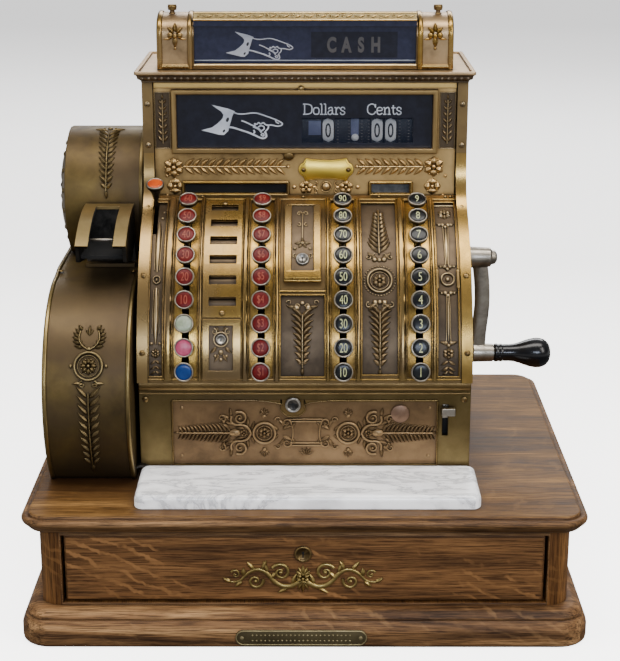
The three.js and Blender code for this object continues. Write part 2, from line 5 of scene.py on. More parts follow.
import bmesh
import bpy
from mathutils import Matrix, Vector


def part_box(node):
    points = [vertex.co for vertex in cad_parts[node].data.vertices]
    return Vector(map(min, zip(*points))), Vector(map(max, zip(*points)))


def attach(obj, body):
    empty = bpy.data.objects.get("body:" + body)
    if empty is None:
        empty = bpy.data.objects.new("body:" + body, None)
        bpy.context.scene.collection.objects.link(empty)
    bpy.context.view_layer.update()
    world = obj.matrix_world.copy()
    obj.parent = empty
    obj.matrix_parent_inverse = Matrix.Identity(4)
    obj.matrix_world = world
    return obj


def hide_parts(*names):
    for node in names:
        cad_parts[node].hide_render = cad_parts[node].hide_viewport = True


# A brass cash register on an oak drawer base.
# Sizes below are in millimetres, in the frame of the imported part: X to the clerk's
# right, Y away from the clerk, Z up, with the origin under the middle of the base.

MM = 0.001
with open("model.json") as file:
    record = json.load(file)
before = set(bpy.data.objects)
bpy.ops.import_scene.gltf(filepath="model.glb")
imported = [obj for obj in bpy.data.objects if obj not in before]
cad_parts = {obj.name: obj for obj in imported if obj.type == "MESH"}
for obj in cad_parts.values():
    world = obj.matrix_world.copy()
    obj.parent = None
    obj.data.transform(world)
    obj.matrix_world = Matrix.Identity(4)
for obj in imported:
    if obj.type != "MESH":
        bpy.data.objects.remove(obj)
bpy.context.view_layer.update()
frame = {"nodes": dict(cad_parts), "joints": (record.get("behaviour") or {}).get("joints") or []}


# ------------------------------------------------------------------ driving measures

def span(node):
    """The lowest and highest corner of a CAD node, in millimetres."""
    low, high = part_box(node)
    return low / MM, high / MM


KEYBOARD = Vector((0, 71.6, 207.6))  # the centre line of the keyboard's curve
COVER_RADIUS = 194.0
SUNK = 2.0  # how deep the key strips and ornament fields lie in the cover
LID_RADIUS = 200.0
LID_X = -2.3
KEY_FIRST = 10.85  # degrees up from the front
KEY_STEP = 6.24
KEY_COLUMNS = (-115.0, -42.0, 37.0, 110.5)
STRIP_HALF = 11.5
NO_SALE_X = -148.0
NO_SALE_ANGLE = 63.8
DRUM_Y = 60.0
DRUM_Z = 452.0
DRUM_RADIUS = 42.0
PRINTER_Y = -40.0
PRINTER_Z = 207.0
PRINTER_RADIUS = 108.0
PRINTER_FOOT = 131.0
PAPER_Y = 70.0
PAPER_Z = 380.0
PAPER_RADIUS = 67.0
PLATEN_X = -196.5
CRANK_Y = -30.0
CRANK_Z = 333.0
CRANK_LENGTH = 100.0
UPPER_Y = 6.0
NAME_PLATE_X = 21.0
NAME_PLATE_Z = 414.5
PLINTH_FRONT_Y = -221.0
SERIAL_PLATE_X = -3.0
SERIAL_PLATE_Z = 11.4
PANEL_MIDDLE = 1.4
PANEL_ROW = 176.0
PANEL_LOCK_X = -11.4
RIM_X = 156.2
SIGN_CAP_X = (114.0, 145.0)
SIDES = (1, -1)


# ------------------------------------------------------------------ materials

LABELS = {"specular_ior_level": "Specular IOR Level"}


def fill_ramp(node, stops):
    """Sets a colour ramp's stops, each (position, color)."""
    elements = node.color_ramp.elements
    while len(elements) < len(stops):
        elements.new(0.5)
    for element, (position, color) in zip(elements, stops):
        element.position = position
        element.color = (*color, 1)
    return node.outputs["Color"]


def rgba(red, green, blue):
    return (red, green, blue, 1.0)


class Graph:
    """A material with short ways to add nodes and join them to its shader."""

    def __init__(self, name):
        self.material = bpy.data.materials.new(name)
        self.material.use_nodes = True
        self.tree = self.material.node_tree
        self.shader = self.tree.nodes["Principled BSDF"]
        self.place = self.tree.nodes.new("ShaderNodeTexCoord").outputs["Object"]

    def feed(self, socket, value):
        if isinstance(value, bpy.types.NodeSocket):
            self.tree.links.new(value, socket)
        else:
            socket.default_value = value

    def add(self, kind, inputs, **settings):
        node = self.tree.nodes.new("ShaderNode" + kind)
        for name, value in settings.items():
            setattr(node, name, value)
        for name, value in inputs.items():
            self.feed(node.inputs[name], value)
        return node

    def mapped(self, **inputs):
        return self.add("Mapping", {"Vector": self.place, **inputs}).outputs[0]

    def height(self, axis="Z"):
        return self.add("SeparateXYZ", {"Vector": self.place}).outputs[axis]

    def noise(self, scale, detail=4.0, rough=0.55, bend=0.0, where=None):
        inputs = {"Vector": where or self.place, "Scale": scale, "Detail": detail}
        return self.add("TexNoise", {**inputs, "Roughness": rough, "Distortion": bend}).outputs["Fac"]

    def ramp(self, value, stops):
        return fill_ramp(self.add("ValToRGB", {"Fac": value}), stops)

    def two_tone(self, scale, detail, color, shade, low=0.35, high=0.65):
        return self.ramp(self.noise(scale, detail), [(low, shade), (high, color)])

    def level(self, value, low, high, new_low=0.0, new_high=1.0):
        inputs = {"Value": value, "From Min": low, "From Max": high, "To Min": new_low, "To Max": new_high}
        return self.add("MapRange", inputs).outputs["Result"]

    def calc(self, operation, first, second):
        node = self.add("Math", {0: first, 1: second}, operation=operation, use_clamp=True)
        return node.outputs[0]

    def times(self, first, second):
        return self.calc("MULTIPLY", first, second)

    def mix(self, amount, first, second, kind="MIX"):
        inputs = {0: amount, 6: first, 7: second}
        return self.add("Mix", inputs, data_type="RGBA", blend_type=kind).outputs[2]

    def open_air(self, reach):
        """How open a point is: near 0 in a corner, 1 out on a face."""
        return self.add("AmbientOcclusion", {"Distance": reach}, samples=4).outputs["AO"]

    def bump(self, height, strength, distance):
        inputs = {"Height": height, "Strength": strength, "Distance": distance}
        self.feed(self.shader.inputs["Normal"], self.add("Bump", inputs).outputs[0])

    def finish(self, **inputs):
        for name, value in inputs.items():
            self.feed(self.shader.inputs[LABELS.get(name, name.replace("_", " ").title())], value)
        return self.material


def brass(name, bright, middle, dark, wear=0.5, roughness=0.3, metal=0.92, foot=None, stain=None):
    """Old brass: rubbed bright on its edges, brown in its hollows as patina and as painted shade, cloudy
    between.

    The foot is a height in metres below which the brass is painted darker as painted shade; a stain tarnishes
    it in patches.
    """
    g = Graph(name)
    edge = g.level(g.add("NewGeometry", {}).outputs["Pointiness"], 0.47, 0.56)
    # patina and painted shade: darker where the surface is closed in by its neighbours
    patina_and_shade = g.level(g.open_air(0.006), 0.42, 0.96)
    cloud = g.noise(7.0, 4.0, 0.5, 0.4)
    mottle = g.noise(70.0, 5.0, 0.6, 0.3)
    blend = g.calc("ADD", g.times(cloud, 0.7), g.times(mottle, 0.3))
    worn = g.calc("ADD", g.times(g.level(blend, 0.35, 0.65), 1.0 - wear), g.times(edge, wear))
    color = g.ramp(g.times(worn, patina_and_shade), [(0.0, dark), (0.4, middle), (0.9, bright)])
    if stain:
        tarnish = g.level(g.noise(9.0, 3.0, 0.5, 0.5), 0.47, 0.62, 0.0, 0.7)
        color = g.mix(g.times(tarnish, patina_and_shade), color, rgba(*stain))
    # painted shade: darker towards the bottom, below the foot height
    if foot:
        color = g.mix(g.level(g.height(), foot - 0.09, foot, 0.6, 0.0), color, rgba(*dark))
    rough = g.level(blend, 0.35, 0.65, roughness + 0.05, roughness - 0.03)
    g.bump(g.noise(600.0, 3.0), 0.06, 0.0004)
    return g.finish(base_color=color, metallic=metal, roughness=rough, specular_ior_level=0.25)


def oak(name, along, dark, middle, light, fleck=0.5, reach=0.005, grime_and_shade=0.35):
    """Quarter-sawn oak: dark pores along the grain, pale rays that lean across it, corners darkened as grime
    and as painted shade.
    """
    g = Graph(name)
    fine, coarse = (
        g.mapped(Scale=tuple(low if axis == along else high for axis in "XYZ"))
        for low, high in ((30.0, 800.0), (2.6, 34.0)))
    streak = g.level(g.noise(1.0, 5.0, 0.65, 0.25, fine), 0.44, 0.62)
    figure = g.noise(1.0, 6.0, 0.66, 1.1, coarse)
    body = g.ramp(figure, [(0.32, dark), (0.5, middle), (0.68, light)])
    body = g.mix(g.times(streak, 0.75), body, rgba(*dark), "MULTIPLY")
    waves = g.add("TexWave", {
        "Vector": g.mapped(Rotation=(0.9, 0.9, 0.9)), "Scale": 27.0, "Distortion": 5.5, "Detail": 3.0,
        "Detail Scale": 1.4, "Detail Roughness": 0.6}).outputs["Fac"]
    where = g.level(g.noise(16.0, 4.0, 0.6, 0.4), 0.5, 0.62)
    ray = g.times(g.times(g.level(waves, 0.72, 0.95), where), fleck)
    color = g.mix(ray, body, rgba(*(1.1 * c for c in light)))
    # grime and painted shade: darker where the surface is closed in
    grimy_and_shaded = g.mix(1.0 - grime_and_shade, rgba(*dark), color)
    color = g.mix(g.level(g.open_air(reach), 0.4, 0.95), grimy_and_shaded, color)
    g.bump(g.calc("SUBTRACT", 1.0, streak), 0.3, 0.0003)
    rough = g.level(figure, 0.3, 0.7, 0.42, 0.55)
    return g.finish(base_color=color, roughness=rough, specular_ior_level=0.2)


def white_marble():
    """White stone with soft grey streaks that run aslant, made to glow a little as painted light."""
    g = Graph("white_marble")
    slant = g.mapped(Rotation=(0, 0, -0.6), Scale=(1.0, 3.4, 1.0))
    pale = (0.96, 0.95, 0.94)
    vein = g.ramp(g.noise(10.0, 8.0, 0.68, 0.8, slant), [
        (0.36, pale), (0.46, (0.88, 0.87, 0.86)), (0.5, (0.44, 0.44, 0.45)), (0.55, (0.84, 0.83, 0.83)),
        (0.66, pale)])
    cloud = g.level(g.noise(26.0, 6.0, 0.65, 0.7, slant), 0.52, 0.68, 0.0, 0.75)
    color = g.mix(cloud, vein, rgba(0.52, 0.51, 0.51))
    g.bump(g.noise(60.0), 0.02, 0.0004)
    return g.finish(base_color=color, roughness=0.2, coat_weight=0.4, coat_roughness=0.08,
                    emission_color=color, emission_strength=0.62)


def plated(name, bright, dark, roughness=0.28):
    """Nickel plate or steel with a little tarnish."""
    g = Graph(name)
    cloud = g.noise(60.0, 5.0, 0.6, 0.4)
    color = g.ramp(cloud, [(0.35, dark), (0.62, bright)])
    rough = g.level(cloud, 0.3, 0.7, roughness + 0.12, roughness - 0.06)
    g.bump(g.noise(900.0), 0.05, 0.0002)
    return g.finish(base_color=color, metallic=1.0, roughness=rough)


def glossy(name, color, shade, roughness=0.2, coat=0.0):
    """Celluloid, enamel, painted glass and lacquer: two near tones under a shiny coat."""
    g = Graph(name)
    tone = g.two_tone(140.0, 4.0, color, shade)
    g.bump(g.noise(400.0), 0.03, 0.0002)
    return g.finish(base_color=tone, roughness=roughness, specular_ior_level=0.2, coat_weight=coat,
                    coat_roughness=0.22)


def dull(name, color, shade, roughness=0.7):
    """Ink, paint and bare dark metal: two near tones with a faint grain."""
    g = Graph(name)
    tone = g.two_tone(60.0, 5.0, color, shade)
    g.bump(g.noise(500.0), 0.08, 0.0003)
    return g.finish(base_color=tone, roughness=roughness)


def floor_paper():
    """White paper that glows as painted light: bright near the register and falling off behind it."""
    g = Graph("floor_paper")
    tone = g.two_tone(3.0, 3.0, (0.93, 0.925, 0.92), (0.9, 0.895, 0.89), 0.3, 0.7)
    glow = g.ramp(g.level(g.height("Y"), -0.4, 5.0), [
        (0.0, (1.0, 0.985, 0.965)), (0.3, (0.4, 0.395, 0.39)), (1.0, (0.2, 0.199, 0.2))])
    return g.finish(base_color=tone, roughness=0.9, specular_ior_level=0.1,
                    emission_color=glow, emission_strength=4.6)


def clear_glass():
    g = Graph("clear_glass")
    tone = g.two_tone(8.0, 4.0, (0.04, 0.05, 0.09), (0.02, 0.03, 0.06), 0.3, 0.7)
    return g.finish(base_color=tone, roughness=0.05, specular_ior_level=0.15, alpha=0.16)


BRASS = brass("brass", (0.31, 0.205, 0.078), (0.15, 0.094, 0.036), (0.045, 0.028, 0.014), 0.4, 0.33)
# painted shade: darker below 0.28 m
GOLD = brass(
    "gold_brass", (0.48, 0.3, 0.08), (0.24, 0.145, 0.036), (0.06, 0.036, 0.013),
    0.4, 0.26, 0.92, 0.28, (0.27, 0.182, 0.085))
COVER_BRASS = brass(
    "cover_brass", (0.24, 0.155, 0.064), (0.125, 0.08, 0.034), (0.04, 0.025, 0.013), 0.4, 0.32)
# painted shade: darker below 0.28 m
RIB = brass(
    "rib_brass", (0.42, 0.275, 0.09), (0.2, 0.128, 0.043), (0.05, 0.032, 0.014),
    0.5, 0.24, 0.92, 0.28, (0.2, 0.136, 0.075))
LOWER_BRASS = brass(
    "lower_brass", (0.21, 0.15, 0.06), (0.115, 0.08, 0.03), (0.04, 0.026, 0.012),
    0.4, 0.38, stain=(0.105, 0.072, 0.036))
LOWER_FIELD = brass(
    "lower_field", (0.3, 0.186, 0.09), (0.23, 0.141, 0.067), (0.105, 0.064, 0.031), 0.35, 0.42, 0.8)
LOWER_RELIEF = brass(
    "lower_relief", (0.34, 0.22, 0.105), (0.13, 0.082, 0.041), (0.016, 0.01, 0.006), 0.8, 0.36)
BROWN = brass(
    "brown_field", (0.145, 0.103, 0.063), (0.085, 0.06, 0.037), (0.03, 0.021, 0.014), 0.25, 0.42, 0.8)
RELIEF = brass("relief_brass", (0.42, 0.31, 0.165), (0.19, 0.132, 0.07), (0.035, 0.024, 0.014), 0.75, 0.32)
FLOURISH = brass("flourish_brass", (0.5, 0.37, 0.13), (0.3, 0.21, 0.07), (0.06, 0.04, 0.016), 0.5, 0.32)
# painted shade: darker below 0.24 m
OLIVE = brass(
    "olive_brass", (0.16, 0.108, 0.033), (0.088, 0.057, 0.018), (0.024, 0.015, 0.007),
    0.2, 0.45, 0.5, 0.24, (0.082, 0.054, 0.03))
OLIVE_RELIEF = brass(
    "olive_relief", (0.27, 0.2, 0.09), (0.11, 0.077, 0.035), (0.026, 0.018, 0.01), 0.75, 0.38)
OLIVE_GOLD = brass("olive_gold", (0.34, 0.25, 0.1), (0.17, 0.12, 0.048), (0.05, 0.035, 0.017), 0.4, 0.34)
UPPER_BRASS = brass("upper_brass", (0.76, 0.51, 0.215), (0.51, 0.33, 0.13), (0.09, 0.055, 0.025), 0.35, 0.36)
UPPER_RELIEF = brass("upper_relief", (0.8, 0.53, 0.22), (0.4, 0.255, 0.1), (0.04, 0.025, 0.012), 0.75, 0.33)
WINDOW_FRAME = brass("window_frame", (0.4, 0.26, 0.1), (0.2, 0.13, 0.055), (0.04, 0.025, 0.012), 0.6, 0.34)
# painted shade: a darker copy of the gold rim brass, for the rims' upper fronts
RIM_BROWN = brass("rim_brown", (0.3, 0.2, 0.085), (0.16, 0.105, 0.047), (0.04, 0.026, 0.013), 0.4, 0.34)
YELLOW_BRASS = brass("yellow_brass", (1.0, 0.74, 0.13), (0.9, 0.62, 0.09), (0.45, 0.28, 0.04), 0.3, 0.38)
CAP_BRASS = brass("cap_brass", (0.62, 0.43, 0.235), (0.38, 0.255, 0.13), (0.09, 0.056, 0.028), 0.35, 0.36)
CREST_BRASS = brass("crest_brass", (0.95, 0.7, 0.32), (0.62, 0.435, 0.18), (0.13, 0.085, 0.035), 0.45, 0.34)
# painted reflection: bright enough to look lit inside the cornice's shadow
TOP_BAND = brass("top_band", (0.9, 0.62, 0.23), (0.78, 0.52, 0.17), (0.35, 0.22, 0.08), 0.3, 0.34, 0.8)
CORNICE_BRASS = brass(
    "cornice_brass", (0.36, 0.28, 0.19), (0.19, 0.142, 0.095), (0.04, 0.03, 0.02), 0.4, 0.34)
PLATE_BRASS = brass(
    "plate_brass", (0.17, 0.135, 0.065), (0.1, 0.077, 0.037), (0.03, 0.022, 0.012), 0.3, 0.42, 0.6)
PLATE_RELIEF = brass(
    "plate_relief", (0.42, 0.34, 0.17), (0.24, 0.19, 0.09), (0.05, 0.037, 0.02), 0.5, 0.38, 0.6)
GUIDE_BRASS = brass("guide_brass", (0.5, 0.36, 0.15), (0.35, 0.245, 0.1), (0.18, 0.125, 0.055), 0.3, 0.34)
STRIP = brass("strip_ground", (0.72, 0.46, 0.11), (0.34, 0.2, 0.05), (0.05, 0.03, 0.012), 0.2, 0.25)
COPPER = brass("copper_disc", (0.28, 0.175, 0.115), (0.2, 0.122, 0.08), (0.08, 0.048, 0.032), 0.3, 0.42)
OAK_FRONT = oak(
    "oak_front", "X", (0.06, 0.027, 0.01), (0.2, 0.09, 0.03), (0.36, 0.17, 0.058), 0.8, grime_and_shade=0.9)
# painted shadow: the wide reach darkens the board round the printer and the marble
OAK_TOP = oak(
    "oak_top", "X", (0.045, 0.019, 0.006), (0.17, 0.082, 0.022), (0.36, 0.19, 0.06), 0.14, 0.05, 1.0)
OAK_EDGE = oak(
    "oak_edge", "X", (0.04, 0.018, 0.008), (0.19, 0.095, 0.036), (0.4, 0.225, 0.1), 0.1, grime_and_shade=1.0)
OAK_POST = oak("oak_post", "Z", (0.03, 0.012, 0.004), (0.16, 0.066, 0.018), (0.34, 0.155, 0.046), 0.3)
OAK_SIDE = oak("oak_side", "Y", (0.05, 0.02, 0.006), (0.16, 0.068, 0.019), (0.3, 0.14, 0.043), 0.4)
OAK_BASE = oak(
    "oak_base", "X", (0.05, 0.022, 0.009), (0.27, 0.135, 0.052), (0.58, 0.33, 0.14), 0.16, grime_and_shade=1.0)
OAK_BASE_SIDE = oak(
    "oak_base_side", "Y", (0.05, 0.021, 0.008), (0.2, 0.095, 0.034), (0.42, 0.22, 0.085), 0.16, grime_and_shade=1.0)
PALE_WOOD = oak("pale_wood", "Y", (0.2, 0.11, 0.045), (0.35, 0.21, 0.095), (0.46, 0.29, 0.14), 0.2)
MARBLE = white_marble()
NICKEL = plated("nickel", (0.4, 0.375, 0.33), (0.17, 0.155, 0.135), 0.28)
RING = plated("key_ring", (0.36, 0.315, 0.255), (0.2, 0.17, 0.13), 0.3)
STEEL = plated("worn_steel", (0.4, 0.36, 0.3), (0.2, 0.175, 0.14), 0.36)
BLACKENED = plated("blackened_steel", (0.075, 0.068, 0.06), (0.022, 0.02, 0.018), 0.4)
LACQUER = glossy("black_lacquer", (0.004, 0.004, 0.005), (0.002, 0.002, 0.003), 0.2, 0.5)
RED = glossy("red_celluloid", (0.13, 0.004, 0.003), (0.08, 0.002, 0.002), 0.36, 0.0)
BLACK = glossy("black_celluloid", (0.008, 0.009, 0.009), (0.003, 0.003, 0.004), 0.25, 0.2)
WHITE = glossy("white_celluloid", (0.4, 0.44, 0.33), (0.26, 0.3, 0.2))
PINK = glossy("pink_celluloid", (0.48, 0.095, 0.17), (0.34, 0.05, 0.1))
BLUE = glossy("blue_celluloid", (0.012, 0.05, 0.2), (0.007, 0.03, 0.13))
ORANGE = glossy("orange_enamel", (0.55, 0.075, 0.006), (0.4, 0.045, 0.004))
PALE_INK = glossy("pale_ink", (0.55, 0.56, 0.3), (0.42, 0.42, 0.2), 0.4)
ROSE_INK = glossy("rose_ink", (0.31, 0.088, 0.05), (0.23, 0.052, 0.032), 0.5)
WHITE_INK = dull("white_ink", (0.7, 0.72, 0.78), (0.5, 0.53, 0.6), 0.5)
GREY_INK = dull("grey_ink", (0.062, 0.059, 0.06), (0.045, 0.043, 0.046), 0.6)
SIGN_INK = dull("sign_ink", (0.42, 0.44, 0.5), (0.3, 0.32, 0.38), 0.5)
GREY_LINE = dull("grey_line", (0.3, 0.33, 0.38), (0.22, 0.25, 0.3), 0.5)
DRUM_PAINT = dull("drum_paint", (0.012, 0.014, 0.02), (0.005, 0.006, 0.009), 0.5)
SHUTTER = dull("shutter_paint", (0.17, 0.19, 0.32), (0.1, 0.115, 0.22), 0.45)
TABLET = dull("tablet_enamel", (0.86, 0.86, 0.85), (0.66, 0.66, 0.66), 0.4)
DARK_GLASS = glossy("dark_glass", (0.009, 0.011, 0.023), (0.005, 0.006, 0.014), 0.12, 0.15)
SIGN_GLASS = glossy("sign_glass", (0.018, 0.022, 0.052), (0.011, 0.014, 0.035), 0.1, 0.2)
GREY_GLASS = glossy("grey_glass", (0.1, 0.105, 0.11), (0.045, 0.05, 0.055), 0.1, 0.3)
# painted shade: near black, for slots, keyholes, gaps and the insides of parts
PAINTED_SHADE = dull("painted_shade_dark", (0.01, 0.009, 0.008), (0.003, 0.003, 0.003), 0.9)
CLEAR = clear_glass()
FLOOR = floor_paper()


# ------------------------------------------------------------------ skins to build on

class Flat:
    """A plane: u and v run along it and h stands off it."""

    def __init__(self, origin, right, up):
        self.origin = Vector(origin)
        self.right = Vector(right)
        self.up = Vector(up)
        self.out = self.right.cross(self.up)

    def at(self, u, v, h=0.0):
        return (self.origin + self.right * u + self.up * v + self.out * h) * MM


@dataclass
class Roll:
    """The outside of a cylinder along X: v runs round it, in millimetres up from its front."""

    y: float
    z: float
    radius: float

    def at(self, u, v, h=0.0):
        turn = v / self.radius
        reach = self.radius + h
        return Vector((u, self.y - reach * math.cos(turn), self.z + reach * math.sin(turn))) * MM

    def arc(self, degrees):
        return math.radians(degrees) * self.radius


class Outline:
    """A surface drawn along X from (y, z) points; v runs along the outline."""

    def __init__(self, points):
        self.points = points
        self.marks = [0.0]
        for (y0, z0), (y1, z1) in zip(points, points[1:]):
            self.marks.append(self.marks[-1] + math.hypot(y1 - y0, z1 - z0))
        self.length = self.marks[-1]

    def at(self, u, v, h=0.0):
        i = 0
        while i < len(self.marks) - 2 and v > self.marks[i + 1]:
            i += 1
        (y0, z0), (y1, z1) = self.points[i], self.points[i + 1]
        step = self.marks[i + 1] - self.marks[i]
        t = (v - self.marks[i]) / step
        y = y0 + (y1 - y0) * t - (z1 - z0) / step * h
        z = z0 + (z1 - z0) * t + (y1 - y0) / step * h
        return Vector((u, y, z)) * MM

    def places(self, count):
        return [self.length * i / count for i in range(count + 1)]


@dataclass
class Dome:
    """A shallow dome that faces -X; u runs towards -Y and v up, from its middle."""

    x: float
    y: float
    z: float
    radius: float
    bulge: float

    def at(self, u, v, h=0.0):
        out = self.bulge * (1 - (u * u + v * v) / self.radius ** 2)
        return Vector((self.x - out - h, self.y - u, self.z + v)) * MM


RIGHT = (1, 0, 0)
UP = (0, 0, 1)
BACK = (0, 1, 0)
TO_CLERK = (0, -1, 0)


def roll(radius):
    """A roll about the centre line of the keyboard's curve."""
    return Roll(KEYBOARD.y, KEYBOARD.z, radius)


def front(y):
    """The plane that faces the clerk at a given depth."""
    return Flat((0, y, 0), RIGHT, UP)


def polar(degrees, radius=1.0, u=0.0, v=0.0):
    """The point at an angle and a distance from (u, v)."""
    turn = math.radians(degrees)
    return (u + radius * math.cos(turn), v + radius * math.sin(turn))


def key_line(x, degrees):
    """The foot and direction of a key's stem, square to the keyboard's curve."""
    turn = math.radians(degrees)
    return KEYBOARD + Vector((x, 0, 0)), Vector((0, -math.cos(turn), math.sin(turn)))


COVER = roll(COVER_RADIUS)
SUNK_COVER = roll(COVER_RADIUS - SUNK)
LID = roll(LID_RADIUS)
PRINTER = Roll(PRINTER_Y, PRINTER_Z, PRINTER_RADIUS)
PAPER = Roll(PAPER_Y, PAPER_Z, PAPER_RADIUS)


# ------------------------------------------------------------------ making pieces

def add_piece(name, mesh, material, body):
    mesh.materials.clear()
    mesh.materials.append(material)
    mesh.polygons.foreach_set("use_smooth", [True] * len(mesh.polygons))
    piece = bpy.data.objects.new(name, mesh)
    bpy.context.scene.collection.objects.link(piece)
    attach(piece, body)
    return piece


def soften(piece, width):
    """Rounds a piece's sharp edges so that they catch the light."""
    bevel = piece.modifiers.new("edges", "BEVEL")
    bevel.width = width * MM
    bevel.segments = 2
    bevel.limit_method = "ANGLE"
    bevel.angle_limit = math.radians(32)
    bevel.use_clamp_overlap = True
    piece.modifiers.new("normals", "WEIGHTED_NORMAL")
    return piece


def reworked(mesh, work):
    """Opens a mesh for a bmesh job and writes it back."""
    shape = bmesh.new()
    shape.from_mesh(mesh)
    work(shape)
    shape.to_mesh(mesh)
    shape.free()
    return mesh


def refined(node, material, width, body="case"):
    """The CAD node itself, with joined faces and rounded edges."""
    def join_faces(shape):
        bmesh.ops.remove_doubles(shape, verts=shape.verts, dist=0.01 * MM)
        bmesh.ops.dissolve_limit(
            shape, angle_limit=math.radians(0.5), verts=shape.verts, edges=shape.edges)

    mesh = reworked(frame["nodes"][node].data.copy(), join_faces)
    piece = soften(add_piece(node + "_fine", mesh, material, body), width)
    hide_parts(node)
    return piece


def joined(points, faces):
    mesh = bpy.data.meshes.new("shape")
    mesh.from_pydata(points, [], faces)
    mesh.validate()
    mesh.update()
    return mesh


def ring_faces(count, rings, closed=False):
    """Faces between rings of count points each; a closed run joins the last ring to the first."""
    faces = []
    for i in range(rings if closed else rings - 1):
        j = (i + 1) % rings
        for a in range(count):
            b = (a + 1) % count
            faces.append((i * count + a, i * count + b, j * count + b, j * count + a))
    if not closed:
        faces.append(tuple(reversed(range(count))))
        faces.append(tuple(range((rings - 1) * count, rings * count)))
    return faces


def turned(name, profile, base, axis, material, body="case", sides=48):
    """A round piece: a profile of (radius, height) points turned about an axis through base."""
    axis = Vector(axis).normalized()
    side = axis.orthogonal().normalized()
    other = axis.cross(side)
    points = []
    for radius, height in profile:
        for i in range(sides):
            turn = 2 * math.pi * i / sides
            out = side * math.cos(turn) + other * math.sin(turn)
            points.append((Vector(base) + axis * height + out * max(radius, 0.01)) * MM)
    return add_piece(name, joined(points, ring_faces(sides, len(profile))), material, body)


def rounded_rectangle(left, right, low, high, radius, steps):
    """Points round a rectangle with rounded corners, anticlockwise from its right side."""
    ring = []
    for x, y, start in ((right, high, 0), (left, high, 90), (left, low, 180), (right, low, 270)):
        x += radius if x == left else -radius
        y += radius if y == low else -radius
        ring.extend(polar(start + 90 * i / steps, radius, x, y) for i in range(steps + 1))
    return ring


def moulding(node, radius, steps, material, frame_like=False):
    """A moulded slab or frame in place of a CAD node; the steps are (inset, height)."""
    low, high = span(node)
    points = []
    for inset, rise in steps:
        ring = rounded_rectangle(low.x + inset, high.x - inset, low.y + inset, high.y - inset,
                                 max(radius - inset, 0.4), 12)
        points.extend(Vector((x, y, low.z + rise)) * MM for x, y in ring)
    mesh = joined(points, ring_faces(len(ring), len(steps), frame_like))
    piece = add_piece(node + "_fine", mesh, material, "case")
    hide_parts(node)
    return soften(piece, 0.5)


def block(name, low, high, material, width=0.2):
    """A plain box with rounded edges in the given material."""
    corners = [(x, y, z) for x in (low[0], high[0]) for y in (low[1], high[1]) for z in (low[2], high[2])]
    faces = [(0, 1, 3, 2), (4, 6, 7, 5), (0, 4, 5, 1), (2, 3, 7, 6), (0, 2, 6, 4), (1, 5, 7, 3)]
    mesh = joined([Vector(c) * MM for c in corners], faces)
    soften(add_piece(name, mesh, material, "case"), width)


def glyphs(text, bold, fine):
    """The outline points and faces of a line of text, in the font's own units."""
    curve = bpy.data.curves.new("text", "FONT")
    curve.body = text
    curve.offset = bold
    holder = bpy.data.objects.new("text", curve)
    bpy.context.scene.collection.objects.link(holder)
    bpy.context.view_layer.update()
    ready = holder.evaluated_get(bpy.context.evaluated_depsgraph_get())
    mesh = bpy.data.meshes.new_from_object(ready)
    bpy.data.objects.remove(holder)

    def divide(shape):
        bmesh.ops.triangulate(shape, faces=shape.faces)
        bmesh.ops.subdivide_edges(shape, edges=shape.edges, cuts=2, use_grid_fill=True)

    if fine:
        reworked(mesh, divide)
    points = [(point.co.x, point.co.y) for point in mesh.vertices]
    faces = [tuple(face.vertices) for face in mesh.polygons]
    bpy.data.meshes.remove(mesh)
    return points, faces


def smoothed(points, rounds=2):
    """Cuts the corners of an open path a few times over."""
    for _ in range(rounds):
        cut = [points[0]]
        for a, b in zip(points, points[1:]):
            cut.append((a[0] * 0.75 + b[0] * 0.25, a[1] * 0.75 + b[1] * 0.25))
            cut.append((a[0] * 0.25 + b[0] * 0.75, a[1] * 0.25 + b[1] * 0.75))
        cut.append(points[-1])
        points = cut
    return points


def spread(start, end, step):
    """Even places from start to end, about a step apart."""
    count = max(1, round(abs(end - start) / step))
    return [start + (end - start) * i / count for i in range(count + 1)]


def merged(*lists):
    return sorted({round(value, 4) for values in lists for value in values})


LEAF_SECTION = ((1, -0.2), (0.6, 0.62), (0.12, 0.8), (0, 1.0), (-0.12, 0.8), (-0.6, 0.62), (-1, -0.2))


